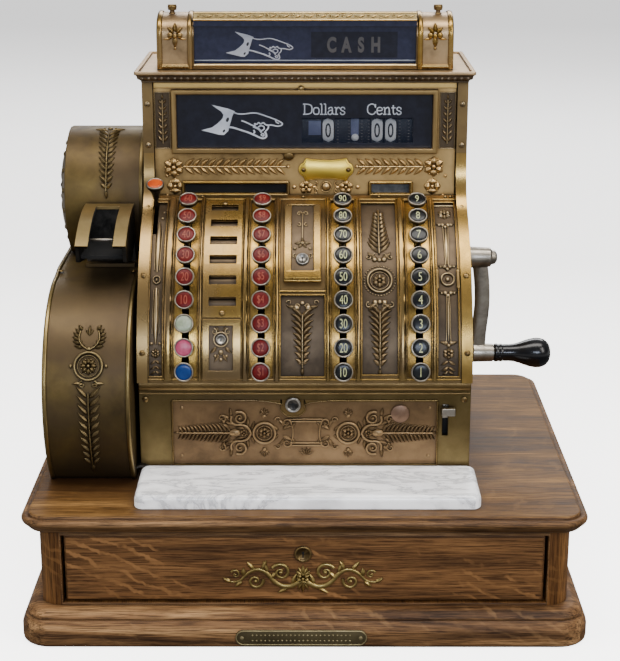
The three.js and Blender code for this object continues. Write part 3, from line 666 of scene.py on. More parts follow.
class Relief:
    """Raised ornament on a skin, gathered into one piece."""

    def __init__(self, skin):
        self.skin = skin
        self.points = []
        self.faces = []

    def patch(self, rows, closed=False):
        """Rows of (u, v, h) points joined row to row; a closed patch joins each row's ends."""
        first = len(self.points)
        width = len(rows[0])
        for row in rows:
            self.points.extend(self.skin.at(*point) for point in row)
        for i in range(len(rows) - 1):
            for j in range(width if closed else width - 1):
                a = first + i * width + j
                b = first + i * width + (j + 1) % width
                self.faces.append((a, b, b + width, a + width))

    def raised(self, rows):
        """A flat-topped plate, from closed rows of (u, v, h) points that end at its top."""
        self.patch(rows, closed=True)
        last = len(self.points) - len(rows[-1])
        self.faces.append(tuple(range(last, len(self.points))))

    def sheet(self, left, right, vs, h=0.0):
        """A thin sheet between two u values, through rows at the v values."""
        self.patch([[(left, v, h), (right, v, h)] for v in vs])

    def dome(self, u, v, radius, height, stretch=1.0, turn=0.0, sides=14):
        rows = []
        c, s = math.cos(turn), math.sin(turn)
        for i in range(5):
            lift = math.pi / 2 * i / 4
            r = radius * math.cos(lift) + 0.002
            row = []
            for j in range(sides):
                x, y = polar(360 * j / sides, r)
                x *= stretch
                row.append((u + x * c - y * s, v + x * s + y * c, height * math.sin(lift)))
            rows.append(row)
        self.patch(rows, closed=True)

    def leaf(self, u, v, angle, length, width, height, bend=0.0):
        """A pointed leaf with a midrib; the angle is in degrees and the leaf may curl."""
        rows = []
        steps = 7
        for i in range(steps + 1):
            t = i / steps
            c, s = polar(angle + bend * t)
            half = 0.5 * width * math.sin(math.pi * t ** 0.75) ** 0.8 + 0.03
            rise = height * (0.25 + 0.75 * math.sin(math.pi * t ** 0.8))
            rows.append([(u - s * half * across, v + c * half * across, rise * lift)
                         for across, lift in LEAF_SECTION])
            u += c * length / steps
            v += s * length / steps
        self.patch(rows)

    def band(self, path, width, height, closed=False, taper=None):
        """A half-round ridge along a path of (u, v) points."""
        rows = []
        count = len(path)
        for i in range(count + (1 if closed else 0)):
            here = path[i % count]
            ahead = path[(i + 1) % count] if closed else path[min(i + 1, count - 1)]
            behind = path[i - 1] if closed else path[max(i - 1, 0)]
            heading = math.atan2(ahead[1] - behind[1], ahead[0] - behind[0])
            size = taper(i / (count - 1)) if taper else 1.0
            row = []
            for k in range(7):
                a = math.pi * k / 6
                x = here[0] - math.sin(heading) * math.cos(a) * width / 2 * size
                y = here[1] + math.cos(heading) * math.cos(a) * width / 2 * size
                row.append((x, y, height * math.sin(a) * size - 0.1))
            rows.append(row)
        self.patch(rows)

    def ring(self, u, v, radius, width, height, stretch=1.0, sides=32):
        circle = [polar(360 * i / sides, radius) for i in range(sides)]
        self.band([(u + x * stretch, v + y) for x, y in circle], width, height, closed=True)

    def line(self, start, end, width, height, taper=None, steps=12):
        path = []
        for i in range(steps + 1):
            t = i / steps
            path.append((start[0] + (end[0] - start[0]) * t, start[1] + (end[1] - start[1]) * t))
        self.band(path, width, height, taper=taper)

    def across(self, left, right, v, width, height, steps=2):
        self.line((left, v), (right, v), width, height, steps=steps)

    def upright(self, u, low, high, width, height, steps=4, taper=None):
        self.line((u, low), (u, high), width, height, taper, steps)

    def frame(self, left, right, low, high, width, height, steps=4):
        """Ridges round a rectangle."""
        for u in (left, right):
            self.upright(u, low, high, width, height, steps)
        for v in (low, high):
            self.across(left, right, v, width, height)

    def scroll(self, u, v, radius, start, turns, width, height):
        """A spiral that winds in to a bead; negative turns wind clockwise."""
        steps = int(abs(turns) * 22)
        path = [polar(start + 360 * turns * i / steps, radius * (1 - 0.82 * i / steps), u, v)
                for i in range(steps + 1)]
        self.band(path, width, height, taper=lambda t: 1.0 - 0.45 * t)
        self.dome(u, v, radius * 0.24, height * 1.15)

    def rosette(self, u, v, radius, petals, height):
        for i in range(petals):
            angle = 360 * i / petals + 90
            self.leaf(*polar(angle, radius * 0.22, u, v), angle, radius * 0.8, 5.2 * radius / petals, height)
            self.dome(*polar(angle + 180 / petals, radius * 0.78, u, v), radius * 0.12, height * 0.7, sides=8)
        self.dome(u, v, radius * 0.24, height * 1.25)

    def palm(self, u, v, length, pairs, first, last, width, height, spread, curl):
        """An upright stem with leaves in pairs, from the first pair's length to the last's."""
        self.line((u, v), (u, v + length), 1.9, height * 1.2)
        for i in range(pairs):
            t = (i + 0.35) / pairs
            long = first + (last - first) * t ** 0.8
            for side in SIDES:
                self.leaf(u, v + length * t, 90 + side * spread, long, width, height, side * curl)
        if last < first:
            self.leaf(u, v + length, 90, last, width * 0.8, height)
        else:
            self.leaf(u, v, 270, first, width * 0.8, height)

    def mirrored(self, u, v, leaves=(), scrolls=(), domes=(), sides=SIDES, flips=(1,)):
        """Marks placed from (u, v), mirrored to both sides and, with two flips, upside down too.

        Leaves, scrolls and domes are given as they stand on the right, above (u, v).
        """
        for side in sides:
            for flip in flips:
                hand = side * flip

                def facing(angle):
                    return flip * (angle if side > 0 else 180 - angle)

                for x, y, angle, length, width, height, *bend in leaves:
                    self.leaf(u + side * x, v + flip * y, facing(angle), length, width, height,
                              *(hand * value for value in bend))
                for x, y, radius, start, turns, width, height in scrolls:
                    self.scroll(
                        u + side * x, v + flip * y, radius, facing(start), hand * turns, width, height)
                for x, y, *shape in domes:
                    self.dome(u + side * x, v + flip * y, *shape)

    def text(self, text, u, v, height, lift=0.1, squeeze=1.0, bold=0.0, fine=False):
        """Flat lettering centred on (u, v)."""
        points, faces = glyphs(text, bold, fine)
        xs = [x for x, y in points]
        ys = [y for x, y in points]
        scale = height / (max(ys) - min(ys))
        middle_x = (max(xs) + min(xs)) / 2
        middle_y = (max(ys) + min(ys)) / 2
        first = len(self.points)
        for x, y in points:
            right = (x - middle_x) * scale * squeeze
            self.points.append(self.skin.at(u + right, v + (y - middle_y) * scale, lift))
        self.faces.extend(tuple(first + i for i in face) for face in faces)

    def build(self, name, material, body="case"):
        return add_piece(name, joined(self.points, self.faces), material, body)


def plate(name, skin, us, vs, is_hole, low, high, material, body="case", width=0.4):
    """A pierced plate between two heights of a skin, made from a grid of cells."""
    columns = len(us)
    layer = columns * len(vs)
    points = [skin.at(u, v, h) for h in (low, high) for v in vs for u in us]
    solid = {
        (i, j): not is_hole((us[i] + us[i + 1]) / 2, (vs[j] + vs[j + 1]) / 2)
        for j in range(len(vs) - 1) for i in range(columns - 1)}
    faces = []
    for (i, j), filled in solid.items():
        if not filled:
            continue
        a, b = j * columns + i, j * columns + i + 1
        c, d = b + columns, a + columns
        faces.append((a + layer, b + layer, c + layer, d + layer))
        faces.append((d, c, b, a))
        for (di, dj), (p, q) in {(0, -1): (a, b), (1, 0): (b, c), (0, 1): (c, d), (-1, 0): (d, a)}.items():
            if not solid.get((i + di, j + dj), False):
                faces.append((p, q, q + layer, p + layer))

    def drop_loose(shape):
        loose = [vertex for vertex in shape.verts if not vertex.link_faces]
        bmesh.ops.delete(shape, geom=loose, context="VERTS")

    return soften(add_piece(name, reworked(joined(points, faces), drop_loose), material, body), width)


def framed_field(name, skin, us, vs, inner, heights, material, lift, width, body="case"):
    """A pierced frame on a skin, open between the middle us and the inner vs, with a dark ground."""
    plate(name + "_frame", skin, us, merged(inner, vs),
          lambda u, v: us[1] < u < us[2] and inner[0] < v < inner[1], *heights, material, body, width)
    ground = Relief(skin)
    ground.sheet(us[1] - 0.5, us[2] + 0.5, spread(*inner, 3), lift)
    ground.build(name + "_ground", BROWN, body)


def stand(skin, u, v):
    """A point of a skin, in millimetres, and the direction off it."""
    return skin.at(u, v, 0) / MM, (skin.at(u, v, 1) - skin.at(u, v, 0)).normalized()


def screw(name, skin, u, v, radius, material, turn=20.0):
    """A domed screw head with its slot drawn as a dark line of painted shade."""
    turned(name, [(radius, -0.4), (radius, 0.5), (radius * 0.75, 1.1), (0, 1.4)],
           *stand(skin, u, v), material, "case", 24)
    slot = Relief(skin)
    start, end = (polar(turn + half, radius * 0.8, u, v) for half in (180, 0))
    slot.line(start, end, radius * 0.28, 1.55, steps=2)
    slot.build(name + "_slot", PAINTED_SHADE)


def lock(name, skin, u, v, r, material, body="case", cross=False):
    """A round lock with a keyhole and a groove ring in painted shade; a cross lock has a dark middle and a
    second slot.
    """
    centre, out = stand(skin, u, v)
    barrel = turned(name, [(r, -0.5), (r, 1.4), (r * 0.9, 1.9), (r * 0.78, 1.9), (r * 0.72, 0.9), (0, 0.9)],
                    centre, out, material, body, 40)
    hole = Relief(skin)
    hole.dome(u, v + r * 0.16, r * 0.24, 1.15, sides=16)
    hole.line((u, v + r * 0.1), (u, v - r * 0.5), r * 0.26, 1.2, steps=3)
    if cross:
        painted(barrel, (BLACKENED, lambda c, n: (c - centre).length < r * 0.74))
        hole.across(u - r * 0.5, u + r * 0.5, v + r * 0.05, r * 0.3, 1.2, steps=3)
    hole.ring(u, v, r * 0.8, r * 0.16, 1.95)
    hole.build(name + "_keyhole", PAINTED_SHADE, body)


def painted(piece, *rules):
    """Gives faces a material of their own; a rule is (material, test of a face's centre and normal)."""
    for material, test in rules:
        piece.data.materials.append(material)
        slot = len(piece.data.materials) - 1
        for face in piece.data.polygons:
            if test(face.center / MM, face.normal):
                face.material_index = slot


# ------------------------------------------------------------------ oak base and drawer

def oak_base():
    plinth = moulding("plinth", 30, [
        (5.4, 0), (2.8, 0.8), (1.5, 2.4), (1.0, 5), (1.0, 16), (1.4, 18), (2.2, 21), (3.2, 23.6), (4.2, 25.4),
        (5.4, 26), (6.3, 26.9), (5.7, 27.8), (5.5, 28.8), (6.1, 30.6), (7.7, 32.6), (9.9, 34.2), (12.8, 35.5),
        (15.6, 36.2), (26, 36.6), (26, 28), (33, 28), (33, 0)],
        OAK_BASE, frame_like=True)
    painted(plinth, (OAK_BASE_SIDE, lambda c, n: abs(c.x) > 245 and abs(n.x) > 0.72))
    board = moulding("top_board", 26, [
        (14, 0), (11.8, 0.3), (9.6, 0.9), (7.6, 1.9), (6, 3.3), (4.8, 4.9), (3.4, 6.4), (1.8, 7.6),
        (0.7, 8.9), (0.1, 10.4), (0, 11.8), (0.4, 13.2), (1.3, 14.3), (2.6, 14.9), (4.2, 15), (5.6, 14.3),
        (6.5, 14.6), (6.6, 16.2), (7.1, 17.3), (8, 17.8), (9.4, 18)], OAK_TOP)
    board_top = span("top_board")[1].z
    painted(board, (OAK_EDGE, lambda c, n: c.z < board_top - 1))
    painted(refined("base_carcass", OAK_SIDE, 0.8),
            (OAK_POST, lambda c, n: c.y < -176 and abs(c.x) > 200),
            (OAK_EDGE, lambda c, n: c.y < -176 and abs(c.x) <= 200),
            (OAK_BASE, lambda c, n: c.y > 190))
    refined("drawer_front", OAK_FRONT, 1.4, "drawer")
    refined("drawer_box", PALE_WOOD, 0.5, "drawer")
    drawer_ornament()
    base_plate()


def drawer_ornament():
    face = front(span("drawer_front")[0].y)
    middle = -1.3
    lock("drawer_lock", face, middle, 89, 8.2, BRASS, "drawer")
    flourish = Relief(face)
    wave = ((3, 60), (14, 54), (26, 58), (34, 70), (44, 74), (54, 68), (60, 60), (71, 60))
    leaves = ((10, 57, 100, 13), (14, 55, -40, 12), (31, 62, 120, 12), (33, 70, 60, 13), (38, 72, 100, 11),
              (46, 73, 40, 11), (56, 66, 80, 9), (58, 61, -50, 9), (68, 60, 20, 9))
    for side in SIDES:
        path = smoothed([(middle + side * x, y) for x, y in wave], 3)
        flourish.band(path, 5.4, 1.9, taper=lambda t: 1.15 - 0.8 * t)
    flourish.mirrored(
        middle, 0, leaves=[(*leaf, 5.0, 1.9, 24) for leaf in leaves],
        scrolls=((21, 70, 9, 30, 1.35, 4.0, 1.9), (45, 61, 7.6, 160, 1.3, 3.6, 1.7),
                 (64, 68, 4.6, 30, 1.1, 2.4, 1.4)))
    for turn in (-50, -25, 0, 25, 50):
        flourish.leaf(middle, 62, -90 + turn, 13 - abs(turn) * 0.06, 4.6, 1.9)
        flourish.leaf(middle, 66, 90 + turn, 12 - abs(turn) * 0.06, 4.6, 1.9)
    flourish.rosette(middle, 64, 7, 6, 2.2)
    flourish.build("drawer_flourish", FLOURISH, "drawer")


def base_plate():
    """The plate on the plinth, with a beaded rim and no text."""
    face = front(PLINTH_FRONT_Y)
    u, v = SERIAL_PLATE_X, SERIAL_PLATE_Z
    blank = Relief(face)
    rows = []
    for inset, rise in ((0, -0.3), (0, 0.27), (0.35, 0.45)):
        half_u, half_v = 62 - inset, 8.3 - inset
        ring = rounded_rectangle(u - half_u, u + half_u, v - half_v, v + half_v, 7.6 - inset, 8)
        rows.append([(*point, rise) for point in ring])
    blank.raised(rows)
    blank.build("base_plate", PLATE_BRASS)
    rim = Relief(face)
    rim.band([polar(start + 15 * i, 7.0, u + side * 54.4, v) for side, start in ((1, -90), (-1, 90))
              for i in range(13)], 1.6, 1.05, closed=True)
    for rise in (-2.8, 2.8):
        for i in range(24):
            rim.dome(u - 46 + 4 * i, v + rise, 1.1, 0.9, sides=8)
    rim.mirrored(u, v, domes=((56, 0, 2.2, 0.95),))
    rim.build("base_plate_rim", PLATE_RELIEF)


def marble():
    moulding("marble_shelf", 9, [
        (1.5, 0), (0.4, 0.5), (0, 1.5), (0, 8), (0.2, 9.6), (0.8, 11.2), (1.8, 12.6), (3.2, 13.6), (4.8, 14)],
        MARBLE)
    clip = Relief(front(-113))
    path = [(-168 + 17 * i / 10, 139 + 4.5 * math.sin(math.pi * (0.15 + 0.75 * i / 10))) for i in range(11)]
    clip.band(path, 4.4, 7, taper=lambda t: 1.0 - 0.35 * t)
    clip.build("shelf_clip", BLACKENED)


# ------------------------------------------------------------------ lower front panel

def panel_sprays(relief):
    """The ornament that grows out from the middle of the lower panel to both its sides."""
    buds = [(41, 18.5, 90 + turn, 7.6 - abs(turn) * 0.03, 3.4, 1.6) for turn in (-58, -30, 0, 30, 58)]
    curls = [(23, 3, 140, 12, 5.0, 2.2, 44), (22, 6, 74, 11, 4.4, 2.0, -50), (27, 2, 38, 9, 4.0, 1.9, 30),
             (14, 5, 110, 8, 3.6, 1.8, 30)]
    twigs = ((54, 3, 120, 10), (58, 7, 104, 10), (71, 8, 28, 11), (75, 13, 52, 9), (74, 17, 96, 9),
             (76, 5, 40, 10), (80, 9, 70, 7), (60, 4, 20, 10))
    tail = [(74 + 3.9 * i, 0, 66, 14.4 - 0.48 * i, 3.7, 2.0, -30) for i in range(13)]
    relief.mirrored(
        PANEL_MIDDLE, PANEL_ROW, flips=(1, -1),
        leaves=buds + curls + [(*twig, 4.4, 2.1, -24) for twig in twigs] + tail,
        scrolls=((19, 10.5, 4.6, 200, -1.2, 2.4, 2.0), (27.5, 13.5, 3.2, 0, 1.0, 1.9, 1.6),
                 (65, 15.5, 7.0, 60, 1.45, 3.4, 2.4), (82.5, 15.5, 4.0, 240, -1.1, 2.4, 1.9)),
        domes=((41, 17.5, 2.2, 1.8),))
    relief.mirrored(
        PANEL_MIDDLE, PANEL_ROW, leaves=((123, 0, 0, 7, 3.2, 1.7),), domes=((70, 0, 4.2, 2.6, 1.5),))
    for side in SIDES:
        ring = PANEL_MIDDLE + side * 41
        relief.ring(ring, PANEL_ROW, 10.6, 3.2, 2.4)
        relief.ring(ring, PANEL_ROW, 7.4, 1.4, 1.4)
        relief.rosette(ring, PANEL_ROW, 6.6, 6, 2.4)
        relief.rosette(PANEL_MIDDLE + side * 61, PANEL_ROW, 4.6, 5, 2.0)
        relief.across(PANEL_MIDDLE + side * 66, PANEL_MIDDLE + side * 124, PANEL_ROW, 2.4, 1.8)
        for flip in (1, -1):
            arm = [(PANEL_MIDDLE + side * x, PANEL_ROW + flip * y)
                   for x, y in ((54, 0), (57, 6), (62, 8.6), (70, 8.4), (74, 12), (73, 18))]
            relief.band(smoothed(arm), 3.2, 2.1)


def lock_tab(face):
    """The tab that hangs from the panel's top edge behind its lock."""
    edge = [(-44 + 22 * i / 6, 209.7 - 3.5 * (i / 6) ** 2) for i in range(7)]
    for i in range(13):
        x, y = polar(20 + 140 * i / 12)
        edge.append((PANEL_LOCK_X - 12.5 * x, 204.5 - 11 * y))
    edge += [(-1 + 22 * i / 6, 209.7 - 3.5 * (1 - i / 6) ** 2) for i in range(7)]
    tab = Relief(face)
    rim = [(u, v, 0.35) for u, v in edge]
    tab.patch([rim, [(u, 211, 0.35) for u, v in edge]])
    tab.patch([[(u, v, -2.4) for u, v in edge], rim])
    tab.build("lock_tab", BRASS)
    outline = Relief(face)
    outline.band(edge, 1.5, 0.9)
    outline.build("lock_tab_edge", RIB)


def lower_panel():
    y = span("lower_front_panel")[0].y
    field = y + 2.5
    painted(refined("lower_front_panel", LOWER_BRASS, 0.7),
            (LOWER_FIELD, lambda c, n: abs(c.y - field) < 0.05 and n.y < -0.9))
    ornament = Relief(front(field))
    panel_sprays(ornament)
    for rise in (-13, -10.4, 12, 14.4):
        ornament.across(PANEL_MIDDLE - 16, PANEL_MIDDLE + 16, PANEL_ROW + rise, 2.0, 1.6)
    for side in SIDES:
        bracket = []
        for i in range(9):
            reach = 15.5 - 2.6 * math.sin(math.pi * i / 8)
            bracket.append((PANEL_MIDDLE + side * reach, PANEL_ROW - 12 + 25 * i / 8))
        ornament.band(bracket, 2.0, 1.5)
    for turn in (-64, -32, 0, 32, 64):
        ornament.leaf(PANEL_MIDDLE, 153, 90 + turn, 8.5, 3.2, 1.6)
    for u, v in ((-120, 202), (-121, 152), (122, 202), (121, 152)):
        ornament.dome(u, v, 1.7, 1.1)
    ornament.build("lower_panel_ornament", LOWER_RELIEF)
    turned("lower_panel_disc", [(9.2, -0.4), (9.2, 0.9), (8.4, 1.5), (0, 1.7)],
           (93, field, 196), TO_CLERK, COPPER)
    face = front(y)
    lock_tab(face)
    lock("panel_lock", front(y - 0.3), PANEL_LOCK_X, 206, 7.6, NICKEL, cross=True)
    border = Relief(face)
    for u in (-129.5, 129.5):
        border.upright(u, 144, 209.5, 1.8, 1.0)
    for left, right in ((-129, -46), (23, 129)):
        border.across(left, right, 210.4, 1.8, 1.0)
    border.build("lower_panel_border", RIB)
    ledge = Relief(face)
    ledge.across(-160.5, 160.5, 225.5, 10.4, 2.6)
    ledge.across(-160.5, 160.5, 217.6, 2.2, 0.9)
    ledge.build("lower_panel_ledge", BRASS)
    for index, u in enumerate((-154.8, 154.8)):
        screw(f"lower_panel_screw_{index}", face, u, 211.5, 3.1, BRASS, turn=35 + 70 * index)
    # painted shade: a dark block behind the lever's slot
    block("lever_slot_back", (133.5, y + 9.2, 168), (140.5, y + 10, 200), PAINTED_SHADE)


# ------------------------------------------------------------------ case, side rims and back

def case():
    painted(refined("case_shell", BRASS, 1.1),
            (GOLD, lambda c, n: abs(n.x) < 0.3 and abs(c.x) > 150.5 and n.y < 0.2 and c.y < 8),
            # painted shade: the rims' fronts above 430 mm are darker than the gold below
            (RIM_BROWN, lambda c, n: abs(c.x) > 150.5 and n.y < -0.9 and c.z > 430),
            (BROWN, lambda c, n: abs(n.x) > 0.9 and 156 < abs(c.x) < 158),
            (OLIVE, lambda c, n: n.y > 0.9 and c.y > 147))
    rim = roll(COVER_RADIUS + 1.5)
    for side in SIDES:
        u = side * RIM_X
        for index, degrees in enumerate((15.5, 38.0, 63.0)):
            screw(f"rim_screw_{index}_{side + 1}", rim, u, rim.arc(degrees), 2.7, BRASS, turn=30 + 50 * index)
        for index, z in enumerate((440, 481)):
            screw(f"upper_rim_screw_{index}_{side + 1}", front(2), u, z, 2.7, RELIEF, turn=60 * index)
    rear = Flat((0, 148, 0), (-1, 0, 0), UP)
    plate("back_frame", rear, [-150, -128, 128, 150], [140, 160, 470, 492],
          lambda u, v: abs(u) < 128 and 160 < v < 470, -0.5, 1.6, BRASS, width=1.2)
    trim = Relief(rear)
    trim.frame(-122, 122, 166, 464, 2.4, 1.5)
    for u in (-140, 140):
        for v in (150, 316, 482):
            trim.dome(u, v, 3.2, 2.8)
    trim.build("back_trim", BRASS)


# ------------------------------------------------------------------ keyboard cover

def cover_ribs():
    """Half-round ribs that fill the gaps between the strips and panels, with a bead at each side."""
    gaps = ((-137.0, -127.2), (-103.2, -98.8), (-61.2, -54.0), (-30.2, -24.2), (19.9, 25.2), (48.8, 54.7),
            (90.3, 98.7), (122.3, 127.7))
    low, high = COVER.arc(7.6), COVER.arc(67.4)
    ribs = Relief(COVER)
    beads = Relief(COVER)
    for left, right in gaps:
        ribs.upright((left + right) / 2, low, high, right - left - 1.6, 1.7, 40)
        for u in (left + 0.5, right - 0.5):
            beads.upright(u, low, high, 1.5, 1.3, 40)
    ribs.build("keyboard_ribs", RIB)
    beads.build("keyboard_rib_beads", RIB)


def counter_plate():
    """The plate with six windows over the sale counters' wheels."""
    us = [-98.5, -92.7, -66.3, -61.5]
    middles = [30.2 + 6.42 * i for i in range(6)]
    windows = [(COVER.arc(m - 1.35), COVER.arc(m + 1.35)) for m in middles]
    vs = merged(*windows, spread(COVER.arc(25.6), COVER.arc(65.6), 3.4))

    def window(u, v):
        return us[1] < u < us[2] and any(a < v < b for a, b in windows)

    plate("counter_plate", COVER, us, vs, window, -0.3, 2.2, GOLD, width=0.5)
    wheels = Relief(COVER)
    for low, high in windows:
        rows = []
        for i in range(7):
            t = i / 6
            v = low - 2 + (high - low + 4) * t
            rows.append([(u, v, -3.4 + 2.2 * math.sin(math.pi * t)) for u in (-93.5, -79.5, -65.5)])
        wheels.patch(rows)
    wheels.build("counter_wheels", BROWN)
    skin = roll(COVER_RADIUS + 2)
    screw("counter_screw_0", skin, -79.6, skin.arc(64.1), 2.6, BRASS)
    screw("counter_screw_1", skin, -79.6, skin.arc(26.8), 2.8, BRASS)


def counter_lock():
    arc = COVER.arc
    framed_field("counter_lock", COVER, [-98.5, -92, -69.3, -61.5], spread(arc(8.0), arc(25.2), 3.4),
                 (arc(10.6), arc(23.3)), (-0.3, 2.2), RIB, 0.3, 0.7)
    ornament = Relief(COVER)
    u, degrees = -80.6, 19.4
    v = arc(degrees)
    ornament.ring(u, v, 6.8, 2.0, 2.1)
    ornament.mirrored(
        u, v,
        leaves=((2, 7.4, 60, 6, 3.4, 1.8), (4.5, -7, -60, 9, 4.4, 2.0, 40), (2, -14, -70, 9, 4.0, 1.9, 30)),
        scrolls=((6.6, 7.4, 3.0, 90, 1.1, 1.8, 1.8),), domes=((5.4, -16, 1.7, 1.7),))
    ornament.dome(u, v - 12.5, 2.6, 2.2)
    ornament.dome(u, v - 19.5, 2.0, 1.8)
    ornament.build("counter_lock_ornament", RELIEF)
    skin = roll(COVER_RADIUS + 0.3)
    lock("counter_lock", skin, u, skin.arc(degrees), 4.8, NICKEL)


def palm_panels():
    """The ornament of the panel under the lid and of the tall panel."""
    arc = SUNK_COVER.arc
    drop = Relief(SUNK_COVER)
    u = LID_X
    drop.palm(u, arc(11.4), arc(15.2), 9, 9, 17, 5.2, 2.6, 28, 46)
    drop.mirrored(
        u, 0, leaves=((6, arc(28.8), -5, 10, 4.4, 2.0, 40),),
        scrolls=((5.2, arc(29.0), 2.7, 180, -1.0, 1.7, 1.9), (13.0, arc(30.2), 2.4, 0, 1.0, 1.4, 1.4)),
        domes=((5.6, arc(28.6), 3.1, 2.4),))
    drop.dome(u, arc(30.0), 2.2, 1.6)
    drop.build("centre_panel_ornament", RELIEF)

    tall = Relief(SUNK_COVER)
    u = 72.5
    tall.palm(u, arc(45.4), arc(15.4), 9, 18, 7, 5.0, 2.4, 52, -26)
    tall.palm(u, arc(11.2), arc(16.4), 10, 9, 17, 5.2, 2.6, 28, 46)
    for base, flip in ((43.6, 1), (30.2, -1)):
        tall.mirrored(
            u, arc(base), flips=(flip,), leaves=((2, 1, 20, 12, 5.4, 2.3, 44),),
            scrolls=((10.8, 2.6, 3.0, flip * 90, 1.1, 1.8, 1.6), (4.6, 3.6, 2.3, flip * 90, -1.0, 1.6, 1.8)),
            domes=((4.6, 0, 2.8, 2.3),))
        tall.dome(u, arc(base) - flip * 0.5, 2.4, 1.9)
    middle = arc(36.8)
    tall.ring(u, middle, 11.8, 2.6, 2.4)
    tall.ring(u, middle, 9.0, 1.0, 1.2)
    tall.rosette(u, middle, 7.4, 6, 2.2)
    for i in range(34):
        tall.dome(*polar(360 * i / 34, 15.2, u, middle), 0.95, 1.0, sides=8)
    tall.build("tall_panel_ornament", RELIEF)


def right_torch():
    arc = SUNK_COVER.arc
    torch = Relief(SUNK_COVER)
    u = 138.4
    for side in SIDES:
        torch.line((u + side * 2.2, arc(18)), (u + side * 1.3, arc(33)), 1.3, 1.5, steps=20)
        torch.line((u + side * 1.3, arc(41.5)), (u + side * 2.6, arc(56)), 1.3, 1.5, steps=20)
    torch.upright(u, arc(42), arc(55), 4.0, 2.0, 16, lambda t: 0.3 + 0.9 * math.sin(math.pi * t))
    torch.upright(u, arc(19), arc(32), 2.6, 1.8, 16, lambda t: 0.4 + 0.8 * math.sin(math.pi * t))
    torch.across(u - 9.6, u + 9.6, arc(64.2), 1.7, 1.5)
    torch.rosette(u, arc(60.6), 7.0, 6, 2.2)
    for degrees, reach in ((56, 6.2), (41.2, 6.6), (33, 6.2), (18.4, 4.6)):
        v = arc(degrees)
        torch.mirrored(u, v, leaves=((2, 0, 10, 7.4, 3.2, 1.8),),
                       domes=((reach, 0, 1.5, 1.5), (2.6, 0, 2.3, 2.2)))
        torch.dome(u, v - 2.4, 2.0, 1.7)
    torch.ring(u, arc(37.2), 6.2, 2.2, 2.2)
    torch.dome(u, arc(37.2), 2.4, 2.2)
    torch.rosette(u, arc(15.4), 5.8, 6, 2.1)
    torch.mirrored(u, 0, leaves=[(0, arc(degrees), -42, long, 3.4, 1.9, 30)
                                 for degrees, long in ((13.4, 9), (11.6, 8.5), (10.4, 7))])
    torch.build("right_strip_ornament", RELIEF)
    waist = Relief(COVER)
    for side in SIDES:
        edge = 138.3 + side * 10.3
        for degrees in (39.6, 34.8):
            waist.dome(edge, COVER.arc(degrees), 2.0, 0.8)
        waist.upright(edge, COVER.arc(34.8), COVER.arc(39.6), 3.6, 0.9, 12)
    waist.build("right_strip_waist", BRASS)


def left_torch():
    arc = SUNK_COVER.arc
    torch = Relief(SUNK_COVER)
    u = -143.6

    def swell(t):
        return 0.35 + math.sin(math.pi * t) ** 0.7

    torch.upright(u, arc(18), arc(34.5), 4.2, 2.0, 20, swell)
    torch.upright(u, arc(39.4), arc(57), 4.6, 2.2, 20, swell)
    for side in SIDES:
        torch.line((u + side * 3.4, arc(21)), (u + side * 2.4, arc(34)), 1.1, 1.1, steps=16)
        torch.line((u + side * 2.4, arc(40)), (u + side * 3.5, arc(53 + side)), 1.1, 1.1, steps=16)
    torch.mirrored(u, 0, leaves=[(0, arc(degrees), -46, 6.4, 2.8, 1.6, 30) for degrees in (13.4, 11.8, 10.4)],
                   domes=((4.0, arc(18.2), 1.7, 1.7),))
    torch.dome(u + 2.6, arc(58.6), 1.6, 1.6)
    torch.dome(u + 3.8, arc(61.2), 1.3, 1.4)
    torch.ring(u, arc(37), 3.8, 1.6, 1.8, stretch=0.9, sides=20)
    torch.dome(u, arc(37), 1.9, 2.2, stretch=0.7)
    torch.rosette(u, arc(15.4), 4.8, 6, 2.0)
    torch.build("left_strip_ornament", RELIEF)


def keyboard():
    def reach(c):
        return math.hypot(c.y - KEYBOARD.y, c.z - KEYBOARD.z)

    def sunk(c, n):
        return COVER_RADIUS - 1.3 * SUNK < reach(c) < COVER_RADIUS - 0.7 * SUNK and n.y < -0.1

    def strip(c, n):
        return sunk(c, n) and any(abs(c.x - x) < STRIP_HALF for x in KEY_COLUMNS)

    # painted shade on the cover's inner faces
    painted(refined("keyboard_cover", COVER_BRASS, 0.5),
            (BROWN, sunk), (STRIP, strip), (PAINTED_SHADE, lambda c, n: reach(c) < 189.5))
    cover_ribs()
    counter_plate()
    counter_lock()
    palm_panels()
    right_torch()
    left_torch()
    edges = Relief(COVER)
    for degrees in (8.0, 66.9):
        edges.across(-150.5, 150.5, COVER.arc(degrees), 1.8, 1.0)
    edges.across(-24, 20, COVER.arc(33.4), 2.2, 1.3)
    edges.build("keyboard_cross_edges", GOLD)
    borders = Relief(COVER)
    for left, right, low, high in ((-23.7, 19.5, 8.7, 32.3), (55, 90, 9.3, 65.2), (128, 148.6, 8.8, 65.4),
                                   (-150.4, -137, 8.8, 65.4)):
        borders.frame(left, right, COVER.arc(low), COVER.arc(high), 1.3, 0.8, 30)
    borders.build("panel_borders", GOLD)
    for index, u in enumerate((-103, -2, 74, 146, 141)):
        screw(f"cover_screw_{index}", COVER, u, COVER.arc(68.3), 1.8, BRASS, turn=25 * index)


